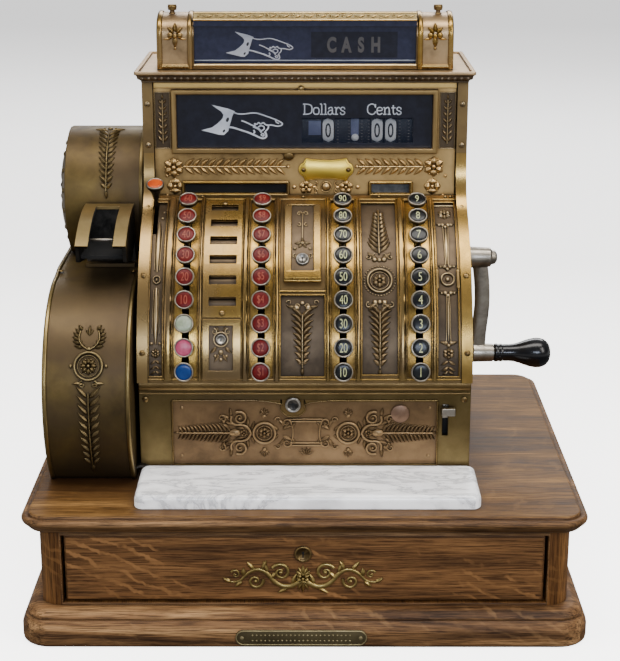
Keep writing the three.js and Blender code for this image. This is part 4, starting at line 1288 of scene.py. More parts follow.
def keyboard_lid():
    refined("keyboard_lid", GOLD, 1.3, "keyboard_lid")
    arc = LID.arc
    framed_field("lid", LID, [-20.2, -13.0, 8.4, 15.6], spread(arc(36.5), arc(62.3), 3.2),
                 (arc(38.9), arc(61.6)), (-0.4, 1.6), GOLD, 0.15, 1.0, "keyboard_lid")
    ornament = Relief(LID)
    ornament.upright(LID_X, arc(48.6), arc(58), 1.7, 1.7, 12)
    ornament.mirrored(
        LID_X, 0,
        leaves=((0, arc(58), 55, 8, 3.2, 1.8, 20), (0.5, arc(47.6), 0, 7.4, 4.6, 2.3),
                (0.5, arc(47.4), -52, 6.0, 4.0, 2.1)),
        scrolls=((3.2, arc(58.2), 2.9, 180, -1.0, 1.7, 1.8), (3.6, arc(54.0), 2.3, 90, 1.0, 1.5, 1.6),
                 (7.2, arc(43.4), 2.6, 90, -1.0, 1.5, 1.5)),
        domes=((7.4, arc(45.8), 1.7, 1.7),))
    ornament.leaf(LID_X, arc(47.8), 90, 7, 4.2, 2.2)
    ornament.dome(LID_X, arc(47.6), 2.5, 2.5)
    ornament.build("lid_ornament", RELIEF, "keyboard_lid")
    lock("lid_lock", LID, LID_X, arc(42.4), 6.4, NICKEL, "keyboard_lid")


# ------------------------------------------------------------------ keys

def one_key(node, x, degrees, material, ink, label):
    base, out = key_line(x, degrees)
    ring = turned(node + "_ring", [
        (2.5, 176), (2.5, 206), (5.6, 206.1), (7.6, 206.6), (8.7, 207.8), (8.9, 209.6), (8.6, 210.8),
        (9.2, 211.2), (9.35, 212), (9.2, 212.6), (8.7, 213), (8.1, 212.9), (7.75, 212.2), (7.7, 211.6),
        (0, 211.6)], base, out, RING, node, 40)
    # the stem and the collar under the ring are painted dark: blackened steel, and painted shade under the
    # key
    painted(ring, (BLACKENED, lambda c, n: (c - KEYBOARD).dot(out) < 210.9))
    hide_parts(node)
    turned(node + "_face", [(7.9, 211.3), (7.85, 212.1), (6.6, 212.55), (4, 212.75), (0, 212.85)],
           base, out, material, node, 36)
    if label:
        mark = Relief(Flat(base + out * 212.9, RIGHT, (0, out.z, -out.y)))
        mark.text(label, 0, 0, 8.8, lift=0.03, squeeze=0.62 if len(label) == 2 else 0.7, bold=-0.006)
        mark.build(node + "_figure", ink, node)


def keys():
    """Four columns of nine keys, each column from its lowest key up."""
    blank = [("paid_out", BLUE, None, ""), ("received", PINK, None, ""), ("charge", WHITE, None, "")]
    columns = (
        blank + [(f"dollars_{n}0", RED, ROSE_INK, f"{n}0") for n in range(1, 7)],
        [(f"dollars_{n}", RED, ROSE_INK, f"${n}") for n in range(1, 10)],
        [(f"cents_{n}0", BLACK, PALE_INK, f"{n}0") for n in range(1, 10)],
        [(f"cents_{n}", BLACK, PALE_INK, f"{n}") for n in range(1, 10)])
    for x, column in zip(KEY_COLUMNS, columns):
        for i, (name, material, ink, label) in enumerate(column):
            one_key("key_" + name, x, KEY_FIRST + KEY_STEP * i, material, ink, label)


# ------------------------------------------------------------------ indicator

HAND_LINES = (
    (1.3, ((-9, 9.5), (-4, 7.6), (3, 7.6), (13, 9.2), (23, 6), (34, 2), (39, -0.6), (40.8, -2.2), (39, -4.2),
           (35, -4.8), (30.5, -3.4), (24.5, -3.6))),
    (1.2, ((33.4, 1.6), (34.2, -0.8), (37, -1.8))),
    (1.3, ((-0.5, 1), (5, -1), (10, -3.8), (13, -4.4))),
    (1.4, ((13, -4.4), (12.4, -1.4), (14.6, -3.2), (16.6, -0.4), (18.4, -2.8), (21.6, -0.6), (23, -3),
           (26.6, -3.6), (26.2, -7), (23.4, -9.6))),
    (1.3, ((16, -5.6), (18.6, -3.8), (22.4, -5), (22, -8), (19, -9.2))),
    (2.0, ((11, -5), (15, -6.4), (18, -8.6), (19.4, -11))),
    (1.8, ((-13.5, -5.4), (-8, -6.2), (-3, -8), (5, -10.4), (12, -13.4), (17, -16), (21.4, -17.2),
           (24.4, -15.4), (24, -12), (22.4, -10))),
    (1.2, ((18.8, -13.4), (20.6, -11.6), (22.4, -13.2), (21, -15), (18.8, -13.4))),
    (1.5, ((11.4, -8.4), (13, -10.4), (11, -12.4))),
)
SLEEVE_TOP = ((-30, 17), (-21, 14.8), (-14, 13.2), (-7, 10.4), (-9, 7.2), (-10.8, 1.2), (-12.8, -5),
              (-13.8, -9.4), (-18.2, -13.4))
SLEEVE_FOOT = ((-25.6, 13.6), (-20.6, 10.2), (-18.4, 7), (-19, 4), (-21, 1.4), (-25, -2.2), (-30, -5.8),
               (-41, -8.6), (-22.6, -13.2))


def hand(relief, dark, u, v, scale):
    """A pointing hand in pale lines, with a solid sleeve and two dark buttons."""

    def at(points):
        return [(u + x * scale, v + y * scale) for x, y in points]

    for width, points in HAND_LINES:
        relief.band(smoothed(at(points)), width * scale, 0.22)
    relief.patch([[(*point, 0.2) for point in at(edge)] for edge in (SLEEVE_FOOT, SLEEVE_TOP)])
    dark.dome(u - 14.4 * scale, v + 2 * scale, 1.5 * scale, 0.5, 1.7, 1.2)
    dark.dome(u - 18.2 * scale, v - 9.4 * scale, 1.1 * scale, 0.5, 1.7, 1.0)


# Each letter's width and strokes, in heights of a capital.
LETTERS = {
    "D": (0.98, (((0.16, 0), (0.16, 1)),
                 ((0, 0), (0.5, 0), (0.84, 0.14), (0.9, 0.5), (0.84, 0.86), (0.5, 1), (0, 1)))),
    "C": (0.94, (((0.82, 0.66), (0.82, 1)),
                 ((0.82, 0.68), (0.74, 0.94), (0.44, 1.04), (0.1, 0.86), (0.03, 0.5), (0.1, 0.14),
                  (0.44, -0.04), (0.74, 0.06), (0.84, 0.3)))),
    "o": (0.68, (((0.32, 0.66), (0.1, 0.62), (0.03, 0.33), (0.1, 0.03), (0.32, -0.01), (0.54, 0.03),
                  (0.61, 0.33), (0.54, 0.62), (0.32, 0.66)),)),
    "l": (0.38, (((0.17, 0), (0.17, 1)), ((0, 0), (0.34, 0)), ((0, 1), (0.17, 1)))),
    "a": (0.66, (((0.08, 0.5), (0.14, 0.66), (0.42, 0.7), (0.46, 0.44), (0.46, 0.06), (0.62, 0)),
                 ((0.46, 0.4), (0.2, 0.38), (0.02, 0.22), (0.08, 0), (0.3, -0.04), (0.46, 0.18)))),
    "r": (0.54, (((0.16, 0), (0.16, 0.66)), ((0, 0), (0.34, 0)), ((0, 0.66), (0.16, 0.66)),
                 ((0.16, 0.4), (0.26, 0.64), (0.42, 0.7), (0.5, 0.56)))),
    "s": (0.56, (((0.46, 0.48), (0.44, 0.64), (0.22, 0.72), (0.04, 0.56), (0.1, 0.38), (0.4, 0.3),
                  (0.5, 0.12), (0.32, -0.04), (0.08, 0), (0.04, 0.2)),)),
    "e": (0.64, (((0.06, 0.36), (0.56, 0.36), (0.54, 0.62), (0.3, 0.7), (0.06, 0.6), (0.03, 0.33),
                  (0.08, 0.04), (0.32, -0.04), (0.56, 0.12)),)),
    "n": (0.8, (((0.16, 0), (0.16, 0.66)), ((0, 0), (0.32, 0)), ((0, 0.66), (0.16, 0.66)),
                ((0.44, 0), (0.74, 0)),
                ((0.16, 0.42), (0.3, 0.64), (0.5, 0.7), (0.6, 0.5), (0.6, 0)))),
    "t": (0.48, (((0.18, 0.9), (0.18, 0.16), (0.26, -0.02), (0.44, 0.06)), ((0, 0.64), (0.4, 0.64)))),
}


def serif_word(relief, word, u, v, height):
    """A word in plain serif letters, centred on u and standing on v."""
    across = -sum(LETTERS[letter][0] for letter in word) / 2
    for letter in word:
        advance, strokes = LETTERS[letter]
        for stroke in strokes:
            path = [(u + (across + x) * height, v + y * height) for x, y in stroke]
            relief.band(smoothed(path) if len(path) > 2 else path, 1.15, 0.22)
        across += advance


def drum_skin(radius):
    """A roll about the axle of the indicator drums."""
    return Roll(DRUM_Y, DRUM_Z, radius)


def tablets(node):
    """White number tablets round an indicator drum, one to each of its ten stops."""
    refined(node, DRUM_PAINT, 0.6, node)
    low, high = span(node)
    u = (low.x + high.x) / 2
    joint = next(joint for joint in frame["joints"] if joint["child"] == node)
    way = 1 if joint["axis"][0] > 0 else -1
    skin = drum_skin(DRUM_RADIUS)
    paper = Relief(skin)
    figures = Relief(skin)
    for digit in range(10):
        v = way * skin.arc(36 * digit)
        rows = []
        for i in range(13):
            t = -1 + i / 6
            past_side = max(0.0, (abs(t) * 12.2 - 6.7) / 5.5)
            half = 5.5 * min(1.0, math.sqrt(max(0.0, 1 - past_side ** 2))) + 0.05
            rows.append([(u + half * across, v + 12.2 * t, lift)
                         for across, lift in ((-1, 0.05), (-0.9, 0.3), (0, 0.34), (0.9, 0.3), (1, 0.05))])
        paper.patch(rows)
        figures.text(f"{digit}", u, v, 14.5, lift=0.42, squeeze=0.62, bold=0.01, fine=True)
    paper.build(node + "_tablets", TABLET, node)
    figures.build(node + "_figures", DRUM_PAINT, node)


def indicator():
    left, right, low, high = -3, 108, 440.5, 465.5
    glass_face = front(12.3)
    shade = plate("indicator_glass_paint", glass_face, [-131, -128.2, left, right, 127.2, 130],
                  [433, 435.8, low, high, 490.2, 493],
                  lambda u, v: left < u < right and low < v < high, -0.9, 0.9, DARK_GLASS, width=0.2)
    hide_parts("indicator_glass")
    pane = plate("indicator_pane", glass_face, [left, right], [low, high],
                 lambda u, v: False, -0.8, 0.5, CLEAR, width=0.1)
    lettering = Relief(front(11.3))
    serif_word(lettering, "Dollars", 19.2, 469.3, 10.2)
    serif_word(lettering, "Cents", 79.2, 469.3, 10.2)
    buttons = Relief(front(11.2))
    hand(lettering, buttons, -63.1, 461.9, 1.0)
    lettering.build("indicator_lettering", WHITE_INK)
    buttons.build("indicator_hand_buttons", DRUM_PAINT)
    backing = Relief(drum_skin(DRUM_RADIUS - 1.5))
    for near, far in ((-9, 16.2), (30, 65.2), (92.8, 110)):
        backing.sheet(near, far, spread(-30, 30, 4))
    backing.build("indicator_backing", DRUM_PAINT)
    skin = drum_skin(DRUM_RADIUS - 1)
    shutters = Relief(skin)
    shutters.sheet(3.4, 15.9, spread(-5, 9.5, 3))
    shutters.sheet(46.0, 53.8, spread(-5, 12, 3))
    shutters.build("indicator_shutters", SHUTTER)
    point = Relief(skin)
    point.dome(50.2, -7.6, 3.9, 2.0)
    point.build("decimal_point", TABLET)
    ticks = Relief(skin)
    for u in (33, 44, 57, 64, 95, 104):
        for i in range(9):
            ticks.across(u - 0.8, u + 0.8, -13 + 3.2 * i, 0.5, 0.4, steps=1)
    ticks.build("indicator_ticks", STEEL)
    for node in ("dollars_drum", "dimes_drum", "cents_drum"):
        tablets(node)


# ------------------------------------------------------------------ upper front

def name_plate(face, u, v):
    """A blank plate: a rectangle with hollowed long sides and a round ear at each end."""
    quarter = [polar(68 * i / 7, 7.4, 20.2) for i in range(8)]
    quarter.append((20.4, 11.6))
    for i in range(7):
        across = 18.5 - 18.5 * i / 6
        quarter.append((across, 9.6 + 1.6 * (across / 18.5) ** 2))
    half = quarter + [(-x, y) for x, y in reversed(quarter[:-1])]
    edge = half + [(x, -y) for x, y in reversed(half[1:-1])]
    shape = Relief(face)
    shape.raised([[(u + x * (1 - inset * 0.6), v + y * (1 - inset), rise) for x, y in edge]
                  for inset, rise in ((0, -0.2), (0, 1.0), (0.04, 1.5))])
    shape.build("name_plate", YELLOW_BRASS)
    rim = Relief(face)
    rim.band([(u + x * 0.93, v + y * 0.9) for x, y in edge], 0.7, 1.8, closed=True)
    rim.build("name_plate_rim", GOLD)


def side_recesses(face):
    """The narrow ornamented fields at both ends of the indicator window."""
    low, high = 436, 492
    for side in SIDES:
        edge, inner = side * 149.2, side * 134.4
        trim = Relief(face)
        trim.frame(edge, inner, low, high, 1.2, 0.9)
        trim.palm(side * 141.8, 441, 44, 7, 8.4, 5.4, 3.4, 1.5, 56, -34)
        trim.build(f"side_recess_trim_{side + 1}", RELIEF)
        ground = Relief(face)
        ground.sheet(edge, inner, (low, high)[::side], 0.12)
        ground.build(f"side_recess_{side + 1}", BROWN)


def upper_garland(face):
    garland = Relief(face)
    v = 417.5
    for start, end, first, step, count, turn in (
            (-122, -20, -121, 7.6, 13, 44), (54, 118, 119, -8.2, 8, 136)):
        garland.across(start, end, v, 2.2, 1.7)
        curl = 10 if turn > 90 else -10
        for i in range(count):
            garland.leaf(first + step * i, v, turn, 13.0, 4.6, 2.1, curl)
            garland.leaf(first + step * i, v, -turn, 13.0, 4.6, 2.1, -curl)
    for u in (-17, 52):
        garland.dome(u, v, 1.9, 1.8)
    garland.rosette(-132, v - 1, 10.4, 6, 2.6)
    garland.rosette(129, v, 10.4, 6, 2.6)
    for u in (-131, 128):
        garland.rosette(u, 397.5, 8.4, 4, 2.2)
    u, v = NAME_PLATE_X, 396.5
    for side in SIDES:
        garland.rosette(u + side * 20, v, 7.4, 5, 2.0)
    garland.mirrored(u, v, leaves=((9, 0, 0, 6, 3.0, 1.5),), domes=((32, 0, 2.2, 1.6),))
    garland.mirrored(u, v, scrolls=((10.5, 3.4, 2.6, 90, 1, 1.4, 1.4),), flips=(1, -1))
    garland.dome(u, v + 0.5, 4.2, 2.4)
    garland.ring(u, v + 0.5, 5.2, 1.2, 1.4)
    for u, v in ((-139, 388), (139, 388), (-139, 408), (141, 408)):
        garland.dome(u, v, 1.6, 1.2)
    garland.build("upper_garland", UPPER_RELIEF)


def upper_front():
    # painted shade on the frame's inner faces that face away from the clerk
    painted(refined("upper_front_frame", UPPER_BRASS, 0.9),
            (WINDOW_FRAME, lambda c, n: c.y < UPPER_Y - 2),
            (PAINTED_SHADE, lambda c, n: c.y > 8 and n.y > 0.9))
    # painted reflection: the strip under the cornice
    block("upper_gold_strip", (-150.4, 4.8, 496.4), (150.4, 6.4, 502.2), TOP_BAND, 0.6)
    face = front(UPPER_Y)
    side_recesses(face)
    upper_garland(face)
    trim = Relief(face)
    for left, right in ((-123, -17), (65, 107)):
        trim.frame(left, right, 388.6, 401.4, 3.4, 2.4)
    trim.build("slot_window_frames", GOLD)
    # painted shade: a dark block behind the left slot window
    block("left_slot_back", (-123, 11.4, 387), (-17, 13.4, 400.5), PAINTED_SHADE)
    block("right_slot_back", (65, 11.4, 387), (107, 13.4, 400.5), GREY_GLASS)
    name_plate(face, NAME_PLATE_X, NAME_PLATE_Z)
    for index, side in enumerate(SIDES):
        screw(f"name_plate_screw_{index}", front(UPPER_Y - 1.5),
              NAME_PLATE_X + side * 22.5, NAME_PLATE_Z, 2.4, BRASS, turn=30)
    turned("window_knob", [(5.4, 0), (5.4, 2.2), (4.4, 3.4), (2.0, 4.0), (0, 4.1)],
           (-16.4, UPPER_Y, 429.2), TO_CLERK, BRASS, sides=28)
    turned("window_catch", [(3.4, 0), (3.4, 1.6), (2.4, 2.4), (0, 2.5)],
           (-4, UPPER_Y - 0.8, 495.6), TO_CLERK, BRASS, sides=24)


# ------------------------------------------------------------------ cornice and sign

def cornice():
    shelf = moulding("cornice", 3, [
        (6.5, 0), (6.5, 1.4), (5.4, 2.6), (4.2, 3.2), (3.4, 4.2), (2.8, 5.6), (2.2, 7.0), (1.0, 7.7),
        (0, 8.2), (0, 10.6), (0.3, 11.0), (0.8, 11.2), (4, 11.2), (5, 9.2)], CORNICE_BRASS)
    painted(shelf, (CAP_BRASS, lambda c, n: c.z > 510.5))
    low = span("cornice")[0]
    row = Relief(front(low.y + 4.6))
    for i in range(51):
        row.dome(-160 + 6.4 * i, low.z + 4.6, 2.1, 2.0, sides=10)
    row.build("cornice_beads", CORNICE_BRASS)
    for side in SIDES:
        row = Relief(Flat((side * 163.6, 0, 0), (0, side, 0), UP))
        for i in range(24):
            row.dome(side * 6.3 * i, low.z + 4.6, 2.1, 2.0, sides=10)
        row.build(f"cornice_side_beads_{side + 1}", CORNICE_BRASS)


def sign_path():
    """The sign box's outline from the foot of its front over to the foot of its back."""
    def bezier(a, b, c, d):
        points = []
        for i in range(1, 17):
            t = i / 16
            k = 1 - t
            points.append(tuple(k ** 3 * p + 3 * k * k * t * q + 3 * k * t * t * r + t ** 3 * s
                                for p, q, r, s in zip(a, b, c, d)))
        return points

    return [(22, 512.6), (22, 524), (22, 535), (22, 545),
            *bezier((22, 545), (22, 559.5), (36, 565.5), (52, 565.5)),
            *bezier((52, 565.5), (68, 565.5), (82, 559.5), (82, 545)), (82, 530), (82, 512.6)]


def sign_caps():
    """The rims, faces and fleurs of the caps at both ends of the sign box."""
    skin = Outline(sign_path())
    steps = skin.places(60)
    rims = Relief(skin)
    caps = Relief(skin)
    fleurs = Relief(skin)
    inner, outer = SIGN_CAP_X
    for side in SIDES:
        for x in (outer - 0.5, inner + 0.4):
            rims.band([(side * x, v) for v in steps], 5.6, 1.9)
        for v in (2.6, skin.length - 2.6):
            rims.across(side * (inner - 1), side * (outer + 1), v, 4.8, 1.6)
        caps.sheet(*sorted((side * inner, side * outer)), steps, 0.3)
        u, v = side * 129, 35.0
        fleurs.mirrored(u, v, leaves=((1.4, 0, 56, 9, 5.2, 2.3, -26), (3, -4.6, -6, 9, 2.6, 1.6)),
                        domes=((4.6, -1.6, 2.9, 2.3),))
        fleurs.leaf(u, v - 2, -90, 12, 6.4, 2.2)
        fleurs.leaf(u, v + 1.6, 90, 10, 5.2, 2.4)
        fleurs.dome(u, v - 2.4, 2.6, 2.4)
        fleurs.dome(u, v - 14.4, 1.5, 1.6)
    rims.build("sign_cap_rims", GOLD)
    caps.build("sign_cap_faces", CAP_BRASS)
    fleurs.build("sign_fleurs", GOLD)


def sign():
    painted(refined("sign_box", BRASS, 0.6),
            (SIGN_GLASS, lambda c, n: 27.5 < c.y < 28.5 and n.y < -0.9 and abs(c.x) < 110),
            (CREST_BRASS, lambda c, n: 22.5 < c.y < 23.5 and c.z > 556),
            (CAP_BRASS, lambda c, n: 110.6 < abs(c.x) < 147 and c.z < 568))
    sign_caps()
    word = Relief(front(27.6))
    letters = Relief(front(27.6))
    buttons = Relief(front(27.5))
    hand(letters, buttons, -45.4, 535.2, 0.82)
    letters.build("sign_hand", SIGN_INK)
    buttons.build("sign_hand_buttons", DRUM_PAINT)
    edge = Relief(front(27.7))
    edge.across(-110.5, 110.5, 520.6, 1.2, 0.25)
    edge.build("sign_glass_line", GREY_LINE)
    veil = Relief(front(22.9))
    veil.sheet(-110.6, 110.6, (554.8, 560.2), 0.1)
    veil.build("sign_glass_top", SIGN_GLASS)
    tablet = Relief(front(28))
    tablet.sheet(6, 92, (523.5, 549), 0.25)
    tablet.build("sign_tablet", DARK_GLASS)
    for i, letter in enumerate("CASH"):
        word.text(letter, 26.5 + 14.6 * i, 536.2, 15.6, squeeze=0.66, bold=0.045)
    word.build("sign_word", GREY_INK)
    border = Relief(front(22.6))
    border.across(-110.5, 110.5, 561.4, 2.4, 1.8)
    border.across(-110.5, 110.5, 516.6, 2.6, 1.4)
    border.build("sign_rails", CREST_BRASS)
    crest = Relief(front(23))
    for i in range(17):
        u = -100 + 12.5 * i
        crest.scroll(u, 565, 2.0, 0, 1.1 if i % 2 else -1.1, 1.1, 1.1)
        crest.leaf(u + 3, 563.6, 30, 6, 2.0, 1.1, -24)
        crest.leaf(u - 3, 566.6, 210, 5, 1.8, 1.0, 24)
    crest.across(-110, 110, 568.1, 1.3, 1.0)
    crest.build("sign_crest", CREST_BRASS)
    for index, side in enumerate(SIDES):
        turned(f"sign_thumb_screw_{index}", [
            (3.6, 563), (3.6, 565.6), (1.7, 566.2), (1.6, 568.4), (3.6, 569.6), (4.7, 571), (4.7, 572.2),
            (3.8, 573.4), (2, 573.9), (0, 574)],
            (side * 133, 46, 0), UP, BRASS, sides=32)


# ------------------------------------------------------------------ printer

def printer_path():
    """The printer housing's outline from the foot of its front, over its top and down its back."""
    foot = math.degrees(math.asin((PRINTER_Z - PRINTER_FOOT) / PRINTER_RADIUS))
    points = []
    for i in range(41):
        x, y = polar(-foot + (90 + foot) * i / 40, PRINTER_RADIUS)
        points.append((PRINTER_Y - x, PRINTER_Z + y))
    return points + [(-18, 318.5), (40, 318.5), (99.5, 318.5), (99.5, 240), (99.5, PRINTER_FOOT)]


def printer():
    low, high = span("printer_housing")
    refined("printer_housing", OLIVE, 1.4)
    skin = Outline(printer_path())
    steps = skin.places(90)
    rims = Relief(skin)
    for x in (low.x + 2.6, high.x - 2.6):
        rims.band([(x, v) for v in steps], 4.6, 1.6)
    rims.build("printer_rims", OLIVE_GOLD)
    printer_ornament((low.x + high.x) / 2 + 2.4)
    printer_side(skin, low.x)
    screws = Relief(Flat((0, 0, high.z), RIGHT, BACK))
    for u, v in ((-244, 92), (-172, 92), (-244, -30), (-172, -30)):
        screws.dome(u, v, 2.6, 1.2)
    screws.build("printer_top_screws", BRASS)


def printer_ornament(u):
    """A palm, a ringed rosette and a flame, one above the other up the printer's front."""
    ornament = Relief(PRINTER)
    ornament.palm(u, PRINTER.arc(-31), PRINTER.arc(43), 10, 11, 17, 5.0, 2.3, 50, -14)
    middle = PRINTER.arc(25.5)
    ornament.ring(u, middle, 13.2, 3.0, 2.6)
    ornament.ring(u, middle, 10.2, 1.2, 1.3)
    ornament.rosette(u, middle, 8.4, 8, 2.4)
    flame = []
    for i in range(6):
        t = i / 5
        x = 3 + 7.4 * math.sin(math.pi * (0.15 + 0.62 * t))
        y = 17.5 + 18.5 * t
        flame.append((x, y, 28 + 44 * t, 8.4 - 1.6 * t, 4.0, 2.3, -26))
        flame.append((x, y, 120 - 20 * t, 4.6, 2.4, 1.6))
    ornament.mirrored(u, middle, leaves=[(3, -19, 28, 13, 4.8, 2.0, -44)] + flame,
                      scrolls=((5.6, -17.4, 3.4, 90, -1.0, 2.2, 2.2),), domes=((16.8, 0, 2.1, 1.9, 0.8),))
    for side in SIDES:
        stem = [(u + side * x, middle + y) for x, y in ((1, 16), (7, 20), (10.4, 27), (8.6, 35))]
        ornament.band(smoothed(stem), 1.8, 1.7)
    ornament.dome(u, middle + 16.6, 2.2, 2.0)
    ornament.leaf(u, middle + 30, 90, 12, 4.2, 2.3)
    for lean in (-34, 34):
        ornament.leaf(u, middle + 31, 90 + lean, 7.0, 2.6, 1.8)
    ornament.build("printer_ornament", OLIVE_RELIEF)


def printer_side(skin, x):
    """The border and rosette on the printer's outer end."""
    panel = Relief(Flat((x, 0, 0), TO_CLERK, UP))
    path = [skin.at(0, v, -13) / MM for v in skin.places(90)]
    panel.band([(-p.y, max(p.z, 143)) for p in path], 3.0, 1.8, closed=True)
    panel.rosette(-20, 225, 30, 12, 1.7)
    panel.ring(-20, 225, 34, 3.0, 1.8, sides=48)
    for turn in range(15, 360, 30):
        panel.leaf(*polar(turn, 38, -20, 225), turn, 16, 7, 1.6)
    panel.build("printer_side_ornament", OLIVE_RELIEF)


def drum_cover():
    low, high = span("printer_drum_cover")
    refined("printer_drum_cover", OLIVE, 1.2, "printer_cover")
    arc = PAPER.arc
    rims = Relief(PAPER)
    rims.upright(high.x - 2.2, arc(-64), arc(244), 4.0, 0.4, 90)
    rims.build("drum_cover_rims", OLIVE_GOLD, "printer_cover")
    ornament = Relief(PAPER)
    u = (low.x + 9 + high.x) / 2 + 2.6
    ornament.palm(u, arc(11), arc(60), 11, 8, 15, 4.8, 1.9, 40, 16)
    ornament.mirrored(u, 0, leaves=((2, arc(76), 30, 14, 4.6, 1.6, -30),),
                      scrolls=((5, arc(78), 3.2, 90, -1.0, 1.8, 1.6),))
    ornament.dome(u, arc(81), 2.6, 1.6)
    ornament.build("drum_cover_ornament", OLIVE_RELIEF, "printer_cover")
    shell = Relief(Dome(low.x + 9, PAPER_Y, PAPER_Z, 60, 9))
    cut = 323 - PAPER_Z  # where the drum sinks into the housing
    for i in range(16):
        turn = 22.5 * i
        if polar(turn, 52)[1] > cut:
            shell.leaf(*polar(turn, 11), turn, 40, 13, 2.6)
            u, v = polar(turn + 11.25, 53)
            if v * 54 / 53 > cut:
                shell.dome(u, v, 3.2, 2.6)
    shell.ring(0, 0, 9, 3, 2.0)
    shell.dome(0, 0, 5, 2.4)
    shell.build("drum_end_ornament", OLIVE_RELIEF, "printer_cover")


def slip_guide():
    foot = 377.6  # below this, faces that don't face up are painted dark: partly dark iron, partly painted shade
    painted(refined("slip_guide", GUIDE_BRASS, 0.8),
            (BLACKENED, lambda c, n: c.z < foot and n.z < 0.3 and abs(n.x) < 0.9),
            (BLACKENED, lambda c, n: c.z < foot and abs(n.x) > 0.9),
            # painted shade: the shelf and the faces inside the opening
            (PAINTED_SHADE, lambda c, n: c.z < 346),
            (PAINTED_SHADE, lambda c, n: c.z < foot and abs(n.x) > 0.9 and abs(c.x - PLATEN_X) < 15),
            (OLIVE, lambda c, n: c.z < 323))
    platen = turned("slip_platen", [(0, -21.4), (1.4, -21.4), (1.4, 21.4), (0, 21.4)],
                    (PLATEN_X, -70, 360.4), RIGHT, STEEL, sides=24)


# ------------------------------------------------------------------ crank and levers

def crank():
    refined("crank_arm", STEEL, 0.9, "crank")
    grip_z = CRANK_Z - CRANK_LENGTH
    grip = turned("crank_grip_fine", [
        (3.5, 0), (7.6, 0), (8.6, 0.6), (9.3, 2), (9.2, 4), (8.6, 4.8), (8.6, 5.6), (9.1, 6.6), (9.0, 8.4),
        (8.5, 9.2), (8.5, 10), (8.7, 12), (8.6, 16), (9.2, 21), (10.6, 26), (12.4, 31), (14.0, 36),
        (15.0, 41), (15.2, 44), (14.9, 47.5), (13.8, 51), (11.6, 54), (8.6, 56.3), (4.6, 57.6), (0, 58)],
        (191, CRANK_Y, grip_z), RIGHT, LACQUER, "grip", 56)
    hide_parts("crank_grip")
    turned("crank_washer", [(3.6, -1.6), (7.4, -1.6), (7.9, -1), (7.9, 0.4), (3.6, 0.5)],
           (191.4, CRANK_Y, grip_z), RIGHT, NICKEL, "crank", 40)
    # painted shade: the hub's slot as a dark line
    slot = Relief(Flat((191.6, 0, 0), BACK, UP))
    slot.across(CRANK_Y - 2.6, CRANK_Y + 2.6, CRANK_Z, 1.0, 0.3)
    slot.build("crank_hub_slot", PAINTED_SHADE, "crank")


def levers():
    refined("drawer_release_lever", STEEL, 1.0, "drawer_release_lever")
    refined("no_sale_lever", BLACKENED, 0.6, "no_sale_lever")
    stem = key_line(NO_SALE_X, NO_SALE_ANGLE)
    for name, material, profile in (
            ("collar", BLACKENED, [
                (3.2, 204), (3.6, 208), (4.6, 212), (6.4, 215.4), (7.9, 217.6), (8.6, 219), (8.9, 220.6),
                (8.5, 221.8), (7.6, 222.2), (0, 222.2)]),
            ("ring", RING, [
                (7.0, 221.4), (8.9, 220.8), (9.0, 221.8), (8.4, 222.7), (7.4, 222.6), (7.0, 222.0)]),
            ("button", ORANGE, [(7.5, 221.8), (7.4, 222.3), (5.4, 222.9), (0, 223.2)])):
        turned("no_sale_" + name, profile, *stem, material, "no_sale_lever", 40)


# ------------------------------------------------------------------ studio

def light(name, place, aim, size, power, color=(1, 1, 1)):
    lamp = bpy.data.lights.new(name, "AREA")
    lamp.shape = "RECTANGLE"
    lamp.size, lamp.size_y = size
    lamp.energy = power
    lamp.color = color
    holder = bpy.data.objects.new(name, lamp)
    holder.location = place
    holder.rotation_euler = (Vector(aim) - Vector(place)).to_track_quat("-Z", "Y").to_euler()
    bpy.context.scene.collection.objects.link(holder)


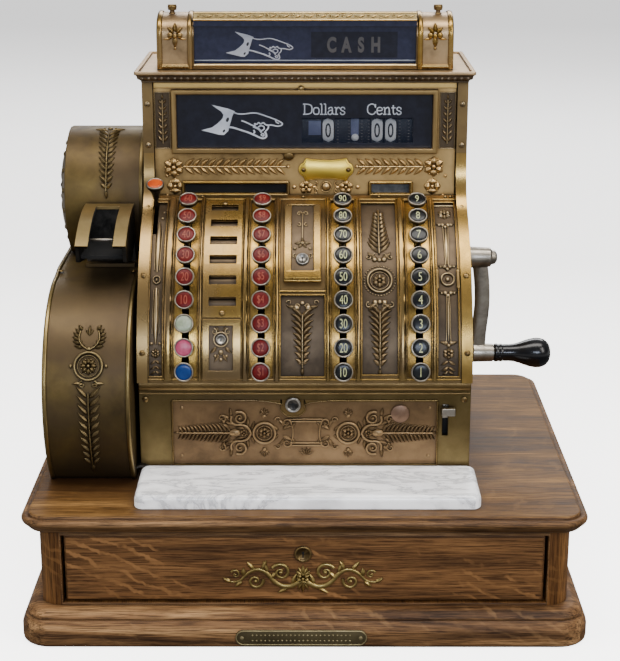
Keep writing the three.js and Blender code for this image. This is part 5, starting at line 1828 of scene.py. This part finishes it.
def studio():
    world = bpy.data.worlds.new("studio")
    bpy.context.scene.world = world
    world.use_nodes = True
    tree = world.node_tree
    direction = tree.nodes.new("ShaderNodeTexCoord").outputs["Generated"]
    height = tree.nodes.new("ShaderNodeSeparateXYZ")
    tree.links.new(direction, height.inputs[0])
    band = tree.nodes.new("ShaderNodeMapRange")
    band.inputs["From Min"].default_value = -1.0
    tree.links.new(height.outputs["Z"], band.inputs["Value"])
    tone = tree.nodes.new("ShaderNodeValToRGB")
    greys = ((0.0, 0.16), (0.28, 0.1), (0.34, 0.1), (0.385, 0.35), (0.41, 0.75), (0.45, 0.8), (0.49, 0.36),
             (0.55, 0.17), (0.68, 0.17), (0.8, 0.26), (1.0, 0.4))
    color = fill_ramp(tone, [(position, (grey, grey * 0.99, grey * 0.985)) for position, grey in greys])
    tree.links.new(band.outputs[0], tone.inputs[0])
    background = tree.nodes["Background"]
    tree.links.new(color, background.inputs["Color"])
    background.inputs["Strength"].default_value = 1.15

    register = (0, -0.1, 0.3)
    light("key_light", (1.9, -1.7, 1.7), register, (0.9, 1.6), 30, (1.0, 0.97, 0.92))
    light("fill_light", (-2.2, -1.7, 1.4), register, (0.8, 1.3), 9)
    light("top_light", (0.0, -0.4, 2.3), register, (2.6, 0.8), 52, (1.0, 0.96, 0.9))
    light("window_light", (0.3, -3.3, 1.4), register, (1.7, 0.45), 46, (0.72, 0.82, 1.0))
    light("back_light", (0.4, 2.6, 1.9), (0, 0.6, 0.2), (2.4, 1.0), 50)

    side = 14.0
    corners = [Vector((side * x, side * y, 0)) for x, y in ((-1, -1), (1, -1), (1, 1), (-1, 1))]
    floor = bpy.data.objects.new("floor", joined(corners, [(0, 1, 2, 3)]))
    floor.data.materials.append(FLOOR)
    bpy.context.scene.collection.objects.link(floor)
    floor.visible_glossy = False
    floor.visible_diffuse = False

    camera = bpy.data.cameras.new("camera")
    camera.sensor_fit = "VERTICAL"
    camera.sensor_width = 36
    camera.sensor_height = 36
    camera.lens = 88.23
    holder = bpy.data.objects.new("camera", camera)
    holder.location = (0.0075, -1.5977, 0.7362)
    holder.rotation_euler = (math.radians(90 - 17.02), 0, math.radians(0.093))
    bpy.context.scene.collection.objects.link(holder)
    bpy.context.scene.camera = holder


for build in (oak_base, marble, lower_panel, case, keyboard, keyboard_lid, keys, upper_front, indicator,
              cornice, sign, printer, drum_cover, slip_guide, crank, levers, studio):
    build()
